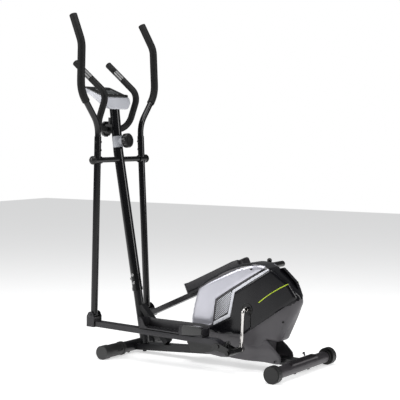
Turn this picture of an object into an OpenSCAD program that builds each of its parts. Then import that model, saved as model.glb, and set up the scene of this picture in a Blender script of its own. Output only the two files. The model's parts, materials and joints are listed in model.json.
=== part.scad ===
// Elliptical trainer with a rear flywheel, millimetres, +Z up.
// The user faces -X, so +Y is the user's right. The origin is on the floor, below the middle.

/* [Base] */
// Front stabiliser axis to rear stabiliser axis
wheelbase = 916; // [860:2:980]
// Half the width of each stabiliser, end caps included
foot_half = 263; // [240:1:290]
// Diameter of the front end caps
front_cap_d = 66; // [60:1:72]
// Diameter of the rear end caps
rear_cap_d = 78; // [74:1:84]
// Diameter of both stabiliser tubes
foot_tube_d = 52; // [48:1:54]
// Width of the base rail
rail_w = 60; // [50:1:64]
// Height of the base rail
rail_h = 30; // [26:1:34]

/* [Mast] */
// Outer diameter of the mast
mast_d = 48; // [47:1:50]
// Diameter of the lower post that slides into the mast
post_d = 43; // [38:1:43]
// Wall of the round tubes
wall = 2.4; // [1.8:0.1:2.4]
// Height of the top of the mast
mast_top = 1180; // [1160:5:1190]

/* [Moving levers] */
// Height of the lever axle
axle_z = 928; // [900:1:940]
// Diameter of the lever axle
axle_d = 26; // [22:1:28]
// Distance of each lever from the middle plane
lever_y = 172; // [168:1:180]
// Diameter of the lower lever tube
lever_d = 33; // [33:1:36]
// Axle to the lower pivot of a lever
lever_len = 738; // [700:1:760]
// Distance of each hand grip from the middle plane
grip_y = 303; // [280:1:320]
// Height of the handle's tip above the axle
handle_top = 671; // [620:1:700]
// Diameter of the upper handle tube
handle_d = 29; // [28:0.5:30]
// Diameter of the foam grips
foam_d = 37; // [34:1:40]

/* [Drive] */
// Height of the crank axis
crank_z = 274; // [268:1:280]
// Radius of the crank
crank_r = 176; // [160:1:180]
// Lean of the cranks from upright
crank_phase = 3; // [0:0.5:8]
// Distance between the two pivots of a pedal bar
bar_len = 795; // [785:1:805]
// Diameter of the flywheel
flywheel_d = 214; // [180:2:220]
// Diameter of the drive pulley
pulley_d = 226; // [180:2:236]

/* [Pedals] */
// Length of a pedal
pedal_len = 372; // [340:2:380]
// Distance of the pedal's inner edge from the middle plane
pedal_in = 124; // [123:1:128]
// Distance of the pedal's outer edge from the middle plane
pedal_out = 204; // [200:1:230]

/* [Housing] */
// Half the width of the housing at the crank
body_half = 70; // [66:1:72]
// Wall of the housing shells
shell = 3; // [2:0.5:4]

/* [Console] */
// Half the width of the console
console_half = 100; // [92:1:106]
// Tilt of the display above level
console_tilt = 21.4; // [18:0.2:25]

/* [Hidden] */
$fn = 48;

// Places that the driving sizes give
front_x = -340;
rear_x = front_x + wheelbase;
flat_cut = 1;
front_z = front_cap_d / 2 - flat_cut;
rear_z = rear_cap_d / 2 - flat_cut;
axle_x = -432.5;
crank_x = 341;
fit = 0.1;
gap = 0.4;
eps = 0.01;

// Rail: rises from the front stabiliser to a bend under the housing, then falls to the rear one
rail_front = [front_x, 26.5];
rail_bend = [180, 57.7];
rail_back = [rear_x - 12, 46];

// Mast axis: a straight lean, then a little more upright above the bend
mast_foot = [-284, 0, 44];
mast_bend = [-442.5, 0, 968];
mast_head = [-466, 0, mast_top];
mast_joint_z = 297;

// Upright mechanism: where the lever pivots and crank pins lie at rest
function pin_at(s) = [crank_x + s * crank_r * sin(crank_phase), crank_z + s * crank_r * cos(crank_phase)];
// The lever swing that puts its lower pivot bar_len away from the crank pin
function swing_for(p) =
    let (dx = p[0] - axle_x, dz = axle_z - p[1])
    let (dist = norm([dx, dz]))
    let (c = (lever_len * lever_len + dist * dist - bar_len * bar_len) / (2 * lever_len * dist))
    acos(c) - atan2(dx, dz);
function pivot_at(a) = [axle_x - lever_len * sin(a), axle_z - lever_len * cos(a)];
left_pin = pin_at(-1);
right_pin = pin_at(1);
left_swing = swing_for(left_pin);
right_swing = swing_for(right_pin);
left_pivot = pivot_at(left_swing);
right_pivot = pivot_at(right_swing);
left_tilt = atan2(left_pin[1] - left_pivot[1], left_pin[0] - left_pivot[0]);
right_tilt = atan2(right_pin[1] - right_pivot[1], right_pin[0] - right_pivot[0]);
echo(left_pivot = left_pivot, left_swing = left_swing, left_tilt = left_tilt);
echo(right_pivot = right_pivot, right_swing = right_swing, right_tilt = right_tilt);
echo(left_pin = left_pin, right_pin = right_pin);

// ---- shapes that repeat ----

function unit(v) = v / norm(v);

// Turns +Z to point along v
module aim(v) {
    length = norm(v);
    rotate([0, acos(v[2] / length), atan2(v[1], v[0])]) children();
}

// A round rod from a to b
module rod(a, b, d) {
    translate(a) aim(b - a) cylinder(d = d, h = norm(b - a));
}

// The length that a bend of radius r takes from each side of corner i
function bend_cut(p, r, i) =
    let (u = unit(p[i] - p[i - 1]), v = unit(p[i + 1] - p[i]))
    r * tan(acos(u * v) / 2);

// A round section with a bore
module ring(d, bore) {
    difference() {
        circle(d = d);
        if (bore > 0) circle(d = bore);
    }
}

// One bend: a part of a torus set in the plane of the corner a, b, c
module elbow(a, b, c, r, d, bore) {
    u = unit(b - a);
    v = unit(c - b);
    turn = acos(u * v);
    n = unit(cross(u, v));
    out = cross(u, n);
    centre = b - u * r * tan(turn / 2) - out * r;
    multmatrix([
        [out[0], u[0], n[0], centre[0]],
        [out[1], u[1], n[1], centre[1]],
        [out[2], u[2], n[2], centre[2]],
        [0, 0, 0, 1]])
        rotate_extrude(angle = turn) translate([r, 0]) ring(d, bore);
}

// A round tube through the points p, with bend radius r[i] at corner i; a bore of 0 makes a rod
module bent_tube(p, r, d, bore) {
    last = len(p) - 1;
    for (i = [0 : last - 1]) {
        u = unit(p[i + 1] - p[i]);
        from = i == 0 ? 0 : bend_cut(p, r[i], i);
        to = i == last - 1 ? 0 : bend_cut(p, r[i + 1], i + 1);
        start = p[i] + u * from;
        translate(start) aim(u) linear_extrude(norm(p[i + 1] - u * to - start)) ring(d, bore);
    }
    for (i = [1 : last - 1]) elbow(p[i - 1], p[i], p[i + 1], r[i], d, bore);
}

// The points of a path whose corners are rounded by arcs
bend_steps = 6;
function arc_points(p, r, i) =
    let (u = unit(p[i] - p[i - 1]), v = unit(p[i + 1] - p[i]), turn = acos(u * v))
    let (out = cross(u, unit(cross(u, v))), centre = p[i] - u * r * tan(turn / 2) - out * r)
    [for (k = [0 : bend_steps]) centre + out * r * cos(turn * k / bend_steps) + u * r * sin(turn * k / bend_steps)];
function rounded_path(p, r) =
    concat([p[0]], [for (i = [1 : len(p) - 2]) each arc_points(p, r[i], i)], [p[len(p) - 1]]);

// The direction of a path at its point i
function heading(q, i) =
    let (back = i == 0 ? q[1] - q[0] : q[i] - q[i - 1])
    let (on = i == len(q) - 1 ? q[i] - q[i - 1] : q[i + 1] - q[i])
    unit(unit(back) + unit(on));

// Side vectors carried along the path without twisting
function sides_along(q, i = 0, found = []) =
    i == len(q) ? found :
    let (t = heading(q, i), last = i == 0 ? [0.31, 0.89, 0.33] : found[i - 1])
    sides_along(q, i + 1, concat(found, [unit(last - t * (last * t))]));

// A round tube swept along a path as one mesh: for bends that lie in different planes
module swept_tube(p, r, d, bore) {
    n = 20;
    q = rounded_path(p, r);
    e = sides_along(q);
    rings = len(q);
    function circle_at(i, radius) =
        let (f = cross(heading(q, i), e[i]))
        [for (k = [0 : n - 1]) q[i] + radius * (e[i] * cos(360 * k / n) + f * sin(360 * k / n))];
    outer = [for (i = [0 : rings - 1]) each circle_at(i, d / 2)];
    inner = [for (i = [0 : rings - 1]) each circle_at(i, bore / 2)];
    shift = rings * n;
    skin = [for (i = [0 : rings - 2], k = [0 : n - 1])
        let (a = i * n + k, b = i * n + (k + 1) % n)
        each [[a, a + n, b + n], [a, b + n, b]]];
    lining = [for (i = [0 : rings - 2], k = [0 : n - 1])
        let (a = shift + i * n + k, b = shift + i * n + (k + 1) % n)
        each [[a, b + n, a + n], [a, b, b + n]]];
    rims = [for (i = [0, rings - 1], k = [0 : n - 1])
        let (a = i * n + k, b = i * n + (k + 1) % n)
        each i == 0 ? [[a, b, shift + b], [a, shift + b, shift + a]]
                    : [[a, shift + b, b], [a, shift + a, shift + b]]];
    polyhedron(concat(outer, inner), concat(skin, lining, rims));
}

// A bar of rectangular section in the XZ plane, from a to b
module flat_bar(a, b, w, h) {
    translate(a)
        rotate([0, -atan2(b[2] - a[2], b[0] - a[0]), 0])
            translate([0, -w / 2, -h / 2]) cube([norm(b - a), w, h]);
}

// A cylinder along Y from y0 to y1, at x and z
module y_rod(x, z, y0, y1, d) {
    translate([x, y1, z]) rotate([90, 0, 0]) cylinder(d = d, h = y1 - y0);
}

// An outline in x and z, made solid from y0 to y1
module slab(points, y0, y1) {
    translate([0, y1, 0]) rotate([90, 0, 0]) linear_extrude(y1 - y0) polygon(points);
}

// Its children and their mirror image across the middle plane
module both_sides() {
    children();
    mirror([0, 1, 0]) children();
}

// A hexagon nut or bolt head, across flats af
module hex(af, h) {
    cylinder(d = af / cos(30), h = h, $fn = 6);
}

// A dome of diameter d and height h on the plane z = 0
module dome(d, h) {
    r = (d * d / 4 + h * h) / (2 * h);
    intersection() {
        translate([0, 0, h - r]) sphere(r = r);
        cylinder(d = d, h = h);
    }
}

// ---- base ----

// A band of height h that follows a line of points in x and z
function side_normal(q, i) =
    let (t = heading(q, i)) [-t[1], t[0]] / (unit(q[i == 0 ? 1 : i] - q[i == 0 ? 0 : i - 1]) * t);
function band_outline(q, h) = concat(
    [for (i = [0 : len(q) - 1]) q[i] + side_normal(q, i) * h / 2],
    [for (i = [len(q) - 1 : -1 : 0]) q[i] - side_normal(q, i) * h / 2]);

// The rail as a solid bar of width w and height h
module rail_solid(w, h) {
    slab(band_outline([rail_front, rail_bend, rail_back], h), -w / 2, w / 2);
}

brace_top = [-300, 0, 226];
brace_foot = [-146, 0, 60];
rail_wall = 2.5;

module base_frame() {
    color([0.09, 0.09, 0.1]) difference() {
        union() {
            rail_solid(rail_w, rail_h);
            rod(mast_foot, mast_foot + unit(mast_bend - mast_foot) * 390, post_d);
            flat_bar(brace_top, brace_foot, 38, 24);
        }
        difference() {
            rail_solid(rail_w - 2 * rail_wall, rail_h - 2 * rail_wall);
            flat_bar(brace_top, brace_foot + [16, 0, -16], 38, 24);
        }
        rod(mast_foot + unit(mast_bend - mast_foot) * 20,
            mast_foot + unit(mast_bend - mast_foot) * 400, post_d - 2 * wall);
        y_rod(front_x, front_z, -rail_w, rail_w, foot_tube_d);
        y_rod(rear_x, rear_z, -rail_w, rail_w, foot_tube_d + 8);
    }
}

// A stabiliser tube between its end caps
module foot_tube(x, z, cap_len) {
    end = foot_half - cap_len;
    difference() {
        y_rod(x, z, -end, end, foot_tube_d);
        y_rod(x, z, -end - 1, end + 1, foot_tube_d - 2 * wall);
    }
}

front_cap_len = 40;
rear_cap_len = 34;

module front_stabilizer() {
    color([0.1, 0.1, 0.11]) foot_tube(front_x, front_z, front_cap_len);
}

module rear_stabilizer() {
    color([0.26, 0.25, 0.27]) foot_tube(rear_x, rear_z, rear_cap_len);
}

wheel_d = 44;
wheel_w = 18;
wheel_pin_d = 8;
wheel_y = 190;
wheel_x = front_x - 54;
wheel_z = wheel_d / 2 + 1;

// A front cap with its sleeve, and the fork that holds a transport wheel
module front_cap() {
    inner = foot_half - front_cap_len;
    sleeve_end = 112;
    difference() {
        union() {
            y_rod(front_x, front_z, inner, foot_half, front_cap_d);
            y_rod(front_x, front_z, sleeve_end, inner, foot_tube_d + 8);
            y_rod(front_x, front_z, sleeve_end, sleeve_end + 14, foot_tube_d + 13);
            for (y = [wheel_y - 15, wheel_y + 11]) {
                slab([[front_x, 46], [front_x, 14], [wheel_x + 4, 14], [wheel_x - 8, 19],
                      [wheel_x - 10, 26], [wheel_x - 4, 34], [front_x - 16, 56]], y, y + 4);
            }
        }
        y_rod(front_x, front_z, sleeve_end - 1, inner, foot_tube_d);
        y_rod(wheel_x, wheel_z, wheel_y - 16, wheel_y + 16, wheel_pin_d);
        slab([[front_x + 22, 30], [front_x + 40, 27], [front_x + 40, 37], [front_x + 22, 38]], 140, 178);
        translate([front_x - 50, 0, -20]) cube([100, 400, 20]);
    }
    y_rod(wheel_x, wheel_z, wheel_y - 15, wheel_y + 15, wheel_pin_d);
}

module front_end_caps() {
    color([0.16, 0.16, 0.17]) both_sides() front_cap();
}

// A rear cap: a wide disc with a ribbed rim
module rear_cap() {
    inner = foot_half - rear_cap_len;
    ribs = 24;
    difference() {
        union() {
            y_rod(rear_x, rear_z, inner - 16, inner, foot_tube_d + 7);
            y_rod(rear_x, rear_z, inner, foot_half - 3, rear_cap_d);
            y_rod(rear_x, rear_z, foot_half - 3, foot_half, rear_cap_d - 6);
        }
        y_rod(rear_x, rear_z, inner - 17, inner, foot_tube_d);
        for (i = [0 : ribs - 1]) {
            angle = 360 * (i + 0.5) / ribs;
            r = rear_cap_d / 2 + 0.6;
            y_rod(rear_x + r * cos(angle), rear_z + r * sin(angle), inner + 5, foot_half - 6, 3.4);
        }
        translate([rear_x - 50, 0, -20]) cube([100, 400, 20]);
    }
}

module rear_end_caps() {
    color([0.1, 0.1, 0.1]) both_sides() rear_cap();
}

// The curved plate between the rail and the rear tube, with grip ribs across it
module rear_saddle() {
    saddle_half = 115;
    step = 10;
    r = foot_tube_d / 2;
    color([0.2, 0.2, 0.21]) intersection() {
        difference() {
            union() {
                y_rod(rear_x, rear_z, -saddle_half, saddle_half, foot_tube_d + 8);
                for (y = [-saddle_half + 6 : step : saddle_half - 6]) {
                    y_rod(rear_x, rear_z, y - 2, y + 2, foot_tube_d + 13);
                }
            }
            y_rod(rear_x, rear_z, -saddle_half - 1, saddle_half + 1, foot_tube_d);
            rail_solid(rail_w + 1, rail_h + 1);
        }
        translate([rear_x - r * 0.7, -saddle_half, rear_z + r * 0.5]) cube([r * 1.5, 2 * saddle_half, r]);
    }
}

// Carriage bolts under both feet, and those of the rail's foot plate
module frame_bolts() {
    color([0.08, 0.08, 0.08]) {
        for (x = [front_x, rear_x]) {
            z = (x == front_x ? front_z : rear_z) - foot_tube_d / 2;
            for (y = [-60, 60]) {
                translate([x, y, z - 0.3]) mirror([0, 0, 1]) dome(18, 5);
                translate([x, y, z + wall + 0.2]) cylinder(d = 8, h = foot_tube_d - 2 * wall - 0.4);
            }
        }
        for (y = [-16, 16]) translate([front_x + 66, y, 8.2]) hex(17, 6);
        translate([rear_x - 8, 44, rear_z + foot_tube_d / 2 + 7]) {
            rotate([0, -12, 0]) cylinder(d = 7, h = 13);
            translate([-3, 0, 10]) rotate([0, -35, 0]) hex(12, 6);
        }
    }
}

module transport_wheel(y) {
    color([0.07, 0.07, 0.07]) translate([0, y, 0]) difference() {
        union() {
            y_rod(wheel_x, wheel_z, -wheel_w / 2, wheel_w / 2, wheel_d - 3);
            y_rod(wheel_x, wheel_z, -wheel_w / 2 + 2, wheel_w / 2 - 2, wheel_d);
        }
        y_rod(wheel_x, wheel_z, -wheel_w, wheel_w, wheel_pin_d + 2 * fit);
    }
}

module left_wheel() transport_wheel(-wheel_y);
module right_wheel() transport_wheel(wheel_y);

// ---- mast ----

mast_bore = mast_d - 2 * wall;
mast_dir = unit(mast_bend - mast_foot);
mast_up = unit(mast_head - mast_bend);
function on_mast(z) = z < mast_bend[2]
    ? mast_foot + (mast_bend - mast_foot) * (z - mast_foot[2]) / (mast_bend[2] - mast_foot[2])
    : mast_bend + (mast_head - mast_bend) * (z - mast_bend[2]) / (mast_head[2] - mast_bend[2]);

// A box on one side of the mitre where the mast's lower and upper tubes meet
module mitre_box(side) {
    translate(mast_bend) aim(mast_dir + mast_up) translate([-60, -60, side > 0 ? 0.01 : -120.01]) cube([120, 120, 120]);
}

module mast() {
    color([0.05, 0.05, 0.055]) {
        difference() {
            union() {
                rod(on_mast(mast_joint_z), mast_bend + mast_dir * 10, mast_d);
                translate(on_mast(mast_joint_z)) aim(mast_dir) cylinder(d = mast_d + 4, h = 16);
            }
            rod(on_mast(mast_joint_z - 10), mast_bend + mast_dir * 20, mast_bore);
            y_rod(axle_x, axle_z, -mast_d, mast_d, axle_d);
            mitre_box(1);
        }
        difference() {
            rod(mast_bend - mast_up * 10, mast_head, mast_d);
            rod(mast_bend - mast_up * 20, mast_head + mast_up * 10, mast_bore);
            mitre_box(-1);
        }
    }
}

// Bolts that lock the mast on the post: two from the side and one from the front
module mast_bolts() {
    color([0.55, 0.55, 0.57]) {
        for (z = [335, 372]) {
            p = on_mast(z);
            translate(p + [0, mast_d / 2 + 0.2, 0]) rotate([-90, 0, 0]) cylinder(d = 16, h = 1.6);
            translate(p + [0, mast_d / 2 + 1.8, 0]) rotate([-90, 0, 0]) hex(13, 6);
            translate(p + [0, -mast_d / 2 - 0.2, 0]) rotate([90, 0, 0]) dome(15, 5);
        }
        translate(on_mast(350) + [-mast_d / 2 - 1.6, 0, 0]) rotate([0, -99.7, 0]) hex(13, 7);
    }
}

knob_z = 1013;
knob_at = on_mast(knob_z);
knob_tilt = 90 - atan2(mast_bend[0] - mast_head[0], mast_head[2] - mast_bend[2]);

// The plastic cover that wraps the user's side of the mast around the tension knob
module scale_plate() {
    color([0.62, 0.63, 0.66]) difference() {
        rod(on_mast(986), on_mast(1040), mast_d + 5);
        rod(on_mast(980), on_mast(1046), mast_d + 0.1);
        translate(on_mast(1010) + [-60, -40, -60]) cube([50, 80, 120]);
        translate(knob_at) rotate([0, knob_tilt, 0]) cylinder(d = 38, h = 60);
    }
}

knob_d = 70;
knob_h = 24;
knob_base_h = 26;

// The round seat that the tension knob turns on
module knob_base() {
    color([0.5, 0.5, 0.52]) difference() {
        translate(knob_at) rotate([0, knob_tilt, 0]) cylinder(d = 38, h = mast_d / 2 + knob_base_h);
        rod(on_mast(975), on_mast(1050), mast_d + 0.1);
    }
}

// A lobed control knob
module tension_knob() {
    lobes = 12;
    color([0.04, 0.04, 0.045])
        translate(knob_at)
            rotate([0, knob_tilt, 0])
                translate([0, 0, mast_d / 2 + knob_base_h + gap])
                    difference() {
                        union() {
                            cylinder(d = knob_d, h = knob_h - 4);
                            translate([0, 0, knob_h - 4]) cylinder(d1 = knob_d, d2 = knob_d - 9, h = 4);
                        }
                        for (i = [0 : lobes - 1]) rotate(i * 360 / lobes) {
                            translate([knob_d / 2 + 4, 0, 5]) cylinder(d = 14, h = knob_h);
                        }
                        translate([0, 0, knob_h - 2]) difference() {
                            cylinder(d = 40, h = 3);
                            cylinder(d = 34, h = 3);
                        }
                    }
}

// ---- lever axle ----

bush_d = 36;
bush_in = 148;
bush_out = 202;

module lever_axle() {
    color([0.05, 0.05, 0.05]) {
        difference() {
            y_rod(axle_x, axle_z, -bush_out, bush_out, axle_d);
            y_rod(axle_x, axle_z, -bush_out - 1, bush_out + 1, axle_d - 8);
        }
    }
}

module axle_caps() {
    color([0.07, 0.07, 0.07]) both_sides() {
        y_rod(axle_x, axle_z, bush_out - 20, bush_out + gap, axle_d - 8.2);
        translate([axle_x, bush_out + gap, axle_z]) rotate([-90, 0, 0]) cylinder(d = 41, h = 5);
        translate([axle_x, bush_out + gap + 5, axle_z]) rotate([-90, 0, 0]) dome(41, 13);
    }
}

// ---- swinging levers: drawn for the right side, upright, with the axle at the origin ----

socket_top = 112;
pivot_bush_d = 28;
pivot_bush_half = 25;
pivot_pin_d = 10;

module lever_shape() {
    difference() {
        union() {
            translate([0, lever_y, -lever_len]) cylinder(d = lever_d, h = lever_len + socket_top);
            y_rod(0, 0, bush_in, bush_out, bush_d);
            y_rod(0, -lever_len, lever_y - pivot_bush_half, lever_y + pivot_bush_half, pivot_bush_d);
        }
        translate([0, lever_y, -lever_len + 22]) cylinder(d = lever_d - 2 * wall, h = lever_len - 50);
        translate([0, lever_y, handle_low[2]]) cylinder(d = handle_d, h = socket_top);
        y_rod(0, 0, bush_in - 1, bush_out + 1, axle_d + 2 * fit);
        y_rod(0, -lever_len, lever_y - 40, lever_y + 40, pivot_pin_d + 2 * fit);
    }
}

// Corners of the upper handle; the grip follows its upper part
handle_low = [0, lever_y, 30];
handle_out = [0, lever_y, 168];
handle_up = [0, grip_y, 322];
handle_lean = [0, grip_y, 545];
handle_tip = [-60, grip_y - 7, handle_top];
handle_path = [handle_low, handle_out, handle_up, handle_lean, handle_tip];
handle_bends = [0, 130, 130, 110, 0];
grip_start = handle_up - unit(handle_up - handle_out) * 62;
grip_path = [grip_start, handle_up, handle_lean, handle_tip];
grip_bends = [0, 130, 110, 0];

module handle_shape() {
    swept_tube(handle_path, handle_bends, handle_d, handle_d - 2 * wall);
}

module grip_shape() {
    tip_dir = unit(handle_tip - handle_lean);
    swept_tube(grip_path, grip_bends, foam_d, handle_d + 0.5);
    translate(handle_tip + tip_dir * 0.03) aim(tip_dir) cylinder(d = foam_d, h = 4);
}

// Two bolts that join the handle to the lever, seen as a dome and a nut outside the tube
module lever_bolts_shape() {
    for (z = [47, 86]) translate([0, lever_y, z]) {
        translate([0, lever_d / 2 + 0.2, 0]) rotate([-90, 0, 0]) dome(14, 5);
        translate([0, -lever_d / 2 - 0.2, 0]) rotate([90, 0, 0]) cylinder(d = 14, h = 1.6);
        translate([0, -lever_d / 2 - 1.8, 0]) rotate([90, 0, 0]) hex(11, 5.5);
    }
}

// Puts a right-hand shape on the left lever, at its rest swing
module on_left_lever() {
    translate([axle_x, 0, axle_z]) rotate([0, left_swing, 0]) mirror([0, 1, 0]) children();
}

// Puts a right-hand shape on the right lever, at its rest swing
module on_right_lever() {
    translate([axle_x, 0, axle_z]) rotate([0, right_swing, 0]) children();
}

module left_lever() color([0.05, 0.05, 0.055]) on_left_lever() lever_shape();
module right_lever() color([0.05, 0.05, 0.055]) on_right_lever() lever_shape();
module left_handle() color([0.05, 0.05, 0.055]) on_left_lever() handle_shape();
module right_handle() color([0.05, 0.05, 0.055]) on_right_lever() handle_shape();
module left_grip() color([0.1, 0.1, 0.1]) on_left_lever() grip_shape();
module right_grip() color([0.1, 0.1, 0.1]) on_right_lever() grip_shape();
module left_lever_bolts() color([0.2, 0.2, 0.2]) on_left_lever() lever_bolts_shape();
module right_lever_bolts() color([0.2, 0.2, 0.2]) on_right_lever() lever_bolts_shape();

// ---- pedal bars: drawn for the right side, level, with the lever pivot at the origin ----

bar_w = 44;
bar_h = 25;
bar_drop = 41;
pin_drop_angle = 5.3;
pin_u = bar_len * cos(pin_drop_angle);
pin_v = -bar_len * sin(pin_drop_angle);
bar_straight = 684;
bar_curve_r = 62;
bar_curve_angle = 44;
ear_t = 4;
ear_gap = pivot_bush_half + 0.5;
bar_front = -22;
tail_steps = 11;

// The bar's centre line: straight, then a curve down to the crank pin
bar_line = concat([[bar_front, -bar_drop]], [for (k = [0 : tail_steps])
    let (a = bar_curve_angle * k / tail_steps)
    [bar_straight + bar_curve_r * sin(a), -bar_drop - bar_curve_r * (1 - cos(a))]]);

module bar_shape() {
    ear_h = 34;
    difference() {
        union() {
            slab(band_outline(bar_line, bar_h), lever_y - bar_w / 2, lever_y + bar_w / 2);
            for (side = [-1, 1]) {
                y = side > 0 ? lever_y + ear_gap : lever_y - ear_gap - ear_t;
                slab([[bar_front, -bar_drop - bar_h / 2 - 2], [22, -bar_drop - bar_h / 2 - 2], [22, -6],
                      [14, 8], [-14, 8], [bar_front, -6]], y, y + ear_t);
                y_rod(0, 0, y, y + ear_t, ear_h);
            }
            translate([bar_front, lever_y - ear_gap - ear_t, -bar_drop - bar_h / 2 - 2])
                cube([44, 2 * (ear_gap + ear_t), 12]);
        }
        translate([bar_front + 4, lever_y - bar_w / 2 + 2.5, -bar_drop - bar_h / 2 + 2.5])
            cube([bar_straight - bar_front - 8, bar_w - 5, bar_h - 5]);
        y_rod(0, 0, lever_y - 60, lever_y + 60, pivot_pin_d);
    }
    y_rod(0, 0, lever_y - ear_gap - ear_t, lever_y + ear_gap + ear_t, pivot_pin_d);
    for (side = [-1, 1]) {
        translate([0, lever_y + side * (ear_gap + ear_t), 0]) rotate([-90 * side, 0, 0]) dome(26, 7);
    }
}

pedal_u0 = 283;
pedal_u1 = pedal_u0 + pedal_len;
pedal_floor = -bar_drop + bar_h / 2 + 0.2;
pedal_wall = 5;
pedal_low = -40;

// A pedal: floor, inner wall, high toe wall that turns the outer corner, low outer rail, high heel block
module pedal_shape() {
    toe = 30;
    block_u = pedal_u1 - 118;
    difference() {
        union() {
            slab([[pedal_u0, pedal_floor], [pedal_u1 - 30, pedal_floor], [pedal_u1, pedal_floor + 8],
                  [pedal_u1, pedal_floor + 13], [pedal_u1 - 30, pedal_floor + 5], [pedal_u0, pedal_floor + 5]],
                 pedal_in, pedal_out);
            slab([[pedal_u0, pedal_low], [pedal_u1 - 40, pedal_low], [pedal_u1, pedal_floor + 6],
                  [pedal_u1, 24], [pedal_u1 - 60, 13], [pedal_u0 + 60, 9], [pedal_u0, 12]],
                 pedal_in, pedal_in + pedal_wall);
            slab([[pedal_u0, pedal_low], [pedal_u0 + 6, pedal_low], [pedal_u0 + 6, 26], [pedal_u0, 26]],
                 pedal_in, pedal_out);
            slab([[pedal_u0, pedal_low], [block_u + 12, pedal_low], [block_u + 12, pedal_floor + 8],
                  [pedal_u0 + 40, pedal_floor + 8], [pedal_u0 + 32, 8], [pedal_u0 + toe - 6, 24], [pedal_u0, 26]],
                 pedal_out - pedal_wall, pedal_out);
            slab([[block_u, pedal_low + 12], [pedal_u1, pedal_floor + 4], [pedal_u1, 26],
                  [pedal_u1 - 40, 24], [block_u + 8, 18], [block_u, 10]],
                 pedal_out - pedal_wall, pedal_out);
            slab([[pedal_u1 - 6, pedal_floor + 4], [pedal_u1, pedal_floor + 5], [pedal_u1, 20], [pedal_u1 - 6, 20]],
                 pedal_in, pedal_out);
            for (i = [0 : 10]) {
                slab([[pedal_u0 + 34 + 27 * i, pedal_floor + 5 - eps], [pedal_u0 + 40 + 27 * i, pedal_floor + 5 - eps],
                      [pedal_u0 + 40 + 27 * i, pedal_floor + 7], [pedal_u0 + 34 + 27 * i, pedal_floor + 7]],
                     pedal_in + 14, pedal_out - 14);
            }
        }
        translate([pedal_u0 - 9, lever_y - bar_w / 2 - 0.4, -80])
            cube([pedal_len + 20, bar_w + 0.8, 80 + pedal_floor - 0.1]);
    }
}

joint_in = 121;
joint_out = 222;
sleeve_d = 28;
joint_pin_d = 14;

// The rear joint of a bar: sleeve and pin of the crank, its two cheeks and the upright bolt
module rear_joint_shape() {
    tail = bar_straight + bar_curve_r * sin(bar_curve_angle);
    tail_v = -bar_drop - bar_curve_r * (1 - cos(bar_curve_angle));
    difference() {
        union() {
            y_rod(pin_u, pin_v, joint_in, joint_out, sleeve_d);
            for (y = [lever_y - bar_w / 2 - 5.2, lever_y + bar_w / 2 + 0.2]) {
                slab([[tail - 26, tail_v + 12], [tail + 4, tail_v + 16], [pin_u + 12, pin_v + 6],
                      [pin_u + 8, pin_v - 12], [pin_u - 14, pin_v - 12], [tail - 34, tail_v - 12]], y, y + 5);
            }
        }
        y_rod(pin_u, pin_v, joint_in - 1, joint_out + 1, joint_pin_d);
    }
    translate([pin_u - 46, lever_y - bar_w / 2 - 5.1, pin_v + 6]) cube([33, bar_w + 10.2, 5]);
    y_rod(pin_u, pin_v, joint_in, joint_out + 3, joint_pin_d);
    translate([pin_u, joint_out + 3, pin_v]) rotate([-90, 0, 0]) hex(17, 6);
    y_rod(tail - 4, tail_v + 2, lever_y + bar_w / 2 + 5.2, lever_y + bar_w / 2 + 10, 18);
    y_rod(tail - 4, tail_v + 2, lever_y - bar_w / 2 - 10, lever_y - bar_w / 2 - 5.2, 18);
    translate([pin_u - 30, lever_y, pin_v + 10]) {
        cylinder(d = 16, h = 22);
        translate([0, 0, 22]) sphere(d = 23);
    }
}

// Puts a right-hand shape on the left bar, at its rest tilt
module on_left_bar() {
    translate([left_pivot[0], 0, left_pivot[1]])
        rotate([0, -left_tilt - pin_drop_angle, 0]) mirror([0, 1, 0]) children();
}

// Puts a right-hand shape on the right bar, at its rest tilt
module on_right_bar() {
    translate([right_pivot[0], 0, right_pivot[1]])
        rotate([0, -right_tilt - pin_drop_angle, 0]) children();
}

module left_bar() color([0.2, 0.2, 0.21]) on_left_bar() bar_shape();
module right_bar() color([0.2, 0.2, 0.21]) on_right_bar() bar_shape();
module left_pedal() color([0.15, 0.15, 0.16]) on_left_bar() pedal_shape();
module right_pedal() color([0.15, 0.15, 0.16]) on_right_bar() pedal_shape();

module trimmed_joint() {
    difference() {
        rear_joint_shape();
        slab(band_outline(bar_line, bar_h + 0.4), lever_y - bar_w / 2 - 0.1, lever_y + bar_w / 2 + 0.1);
    }
}

module left_rear_joint() color([0.06, 0.06, 0.06]) on_left_bar() trimmed_joint();
module right_rear_joint() color([0.06, 0.06, 0.06]) on_right_bar() trimmed_joint();

// ---- handlebar, clamp and knob ----

bar_z = 1075;
bar_tube_d = 26;
bar_foam_d = 32;
bar_mid = [-493.9, 0, bar_z];
bar_side = [-480, 123, bar_z];
bar_shoulder = [-416, 122, 1240];
bar_tip = [-601.8, 125, 1393];
function other_side(p) = [p[0], -p[1], p[2]];
bar_half = [bar_mid, bar_side, bar_shoulder, bar_tip];
bar_path = concat([for (i = [3 : -1 : 1]) other_side(bar_half[i])], bar_half);
bar_bends = [0, 60, 66, 400, 66, 60, 0];
foam_from = bar_side + unit(bar_shoulder - bar_side) * 62;

module fixed_handlebar() {
    color([0.05, 0.05, 0.055]) swept_tube(bar_path, bar_bends, bar_tube_d, bar_tube_d - 2 * wall);
}

// Where the hand pulse plates sit on a side's straight upper part
pulse_dir = unit(bar_tip - bar_shoulder);
pulse_from = bar_tip - pulse_dir * 122;
pulse_to = bar_tip - pulse_dir * 62;

module fixed_grips() {
    color([0.1, 0.1, 0.1]) both_sides() {
        swept_tube([foam_from, bar_shoulder, pulse_from], [0, 60, 0], bar_foam_d, bar_tube_d + 0.5);
        bent_tube([pulse_to, bar_tip], [0, 0], bar_foam_d, bar_tube_d);
        translate(bar_tip) aim(pulse_dir) cylinder(d = bar_foam_d, h = 4);
    }
}

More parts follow.
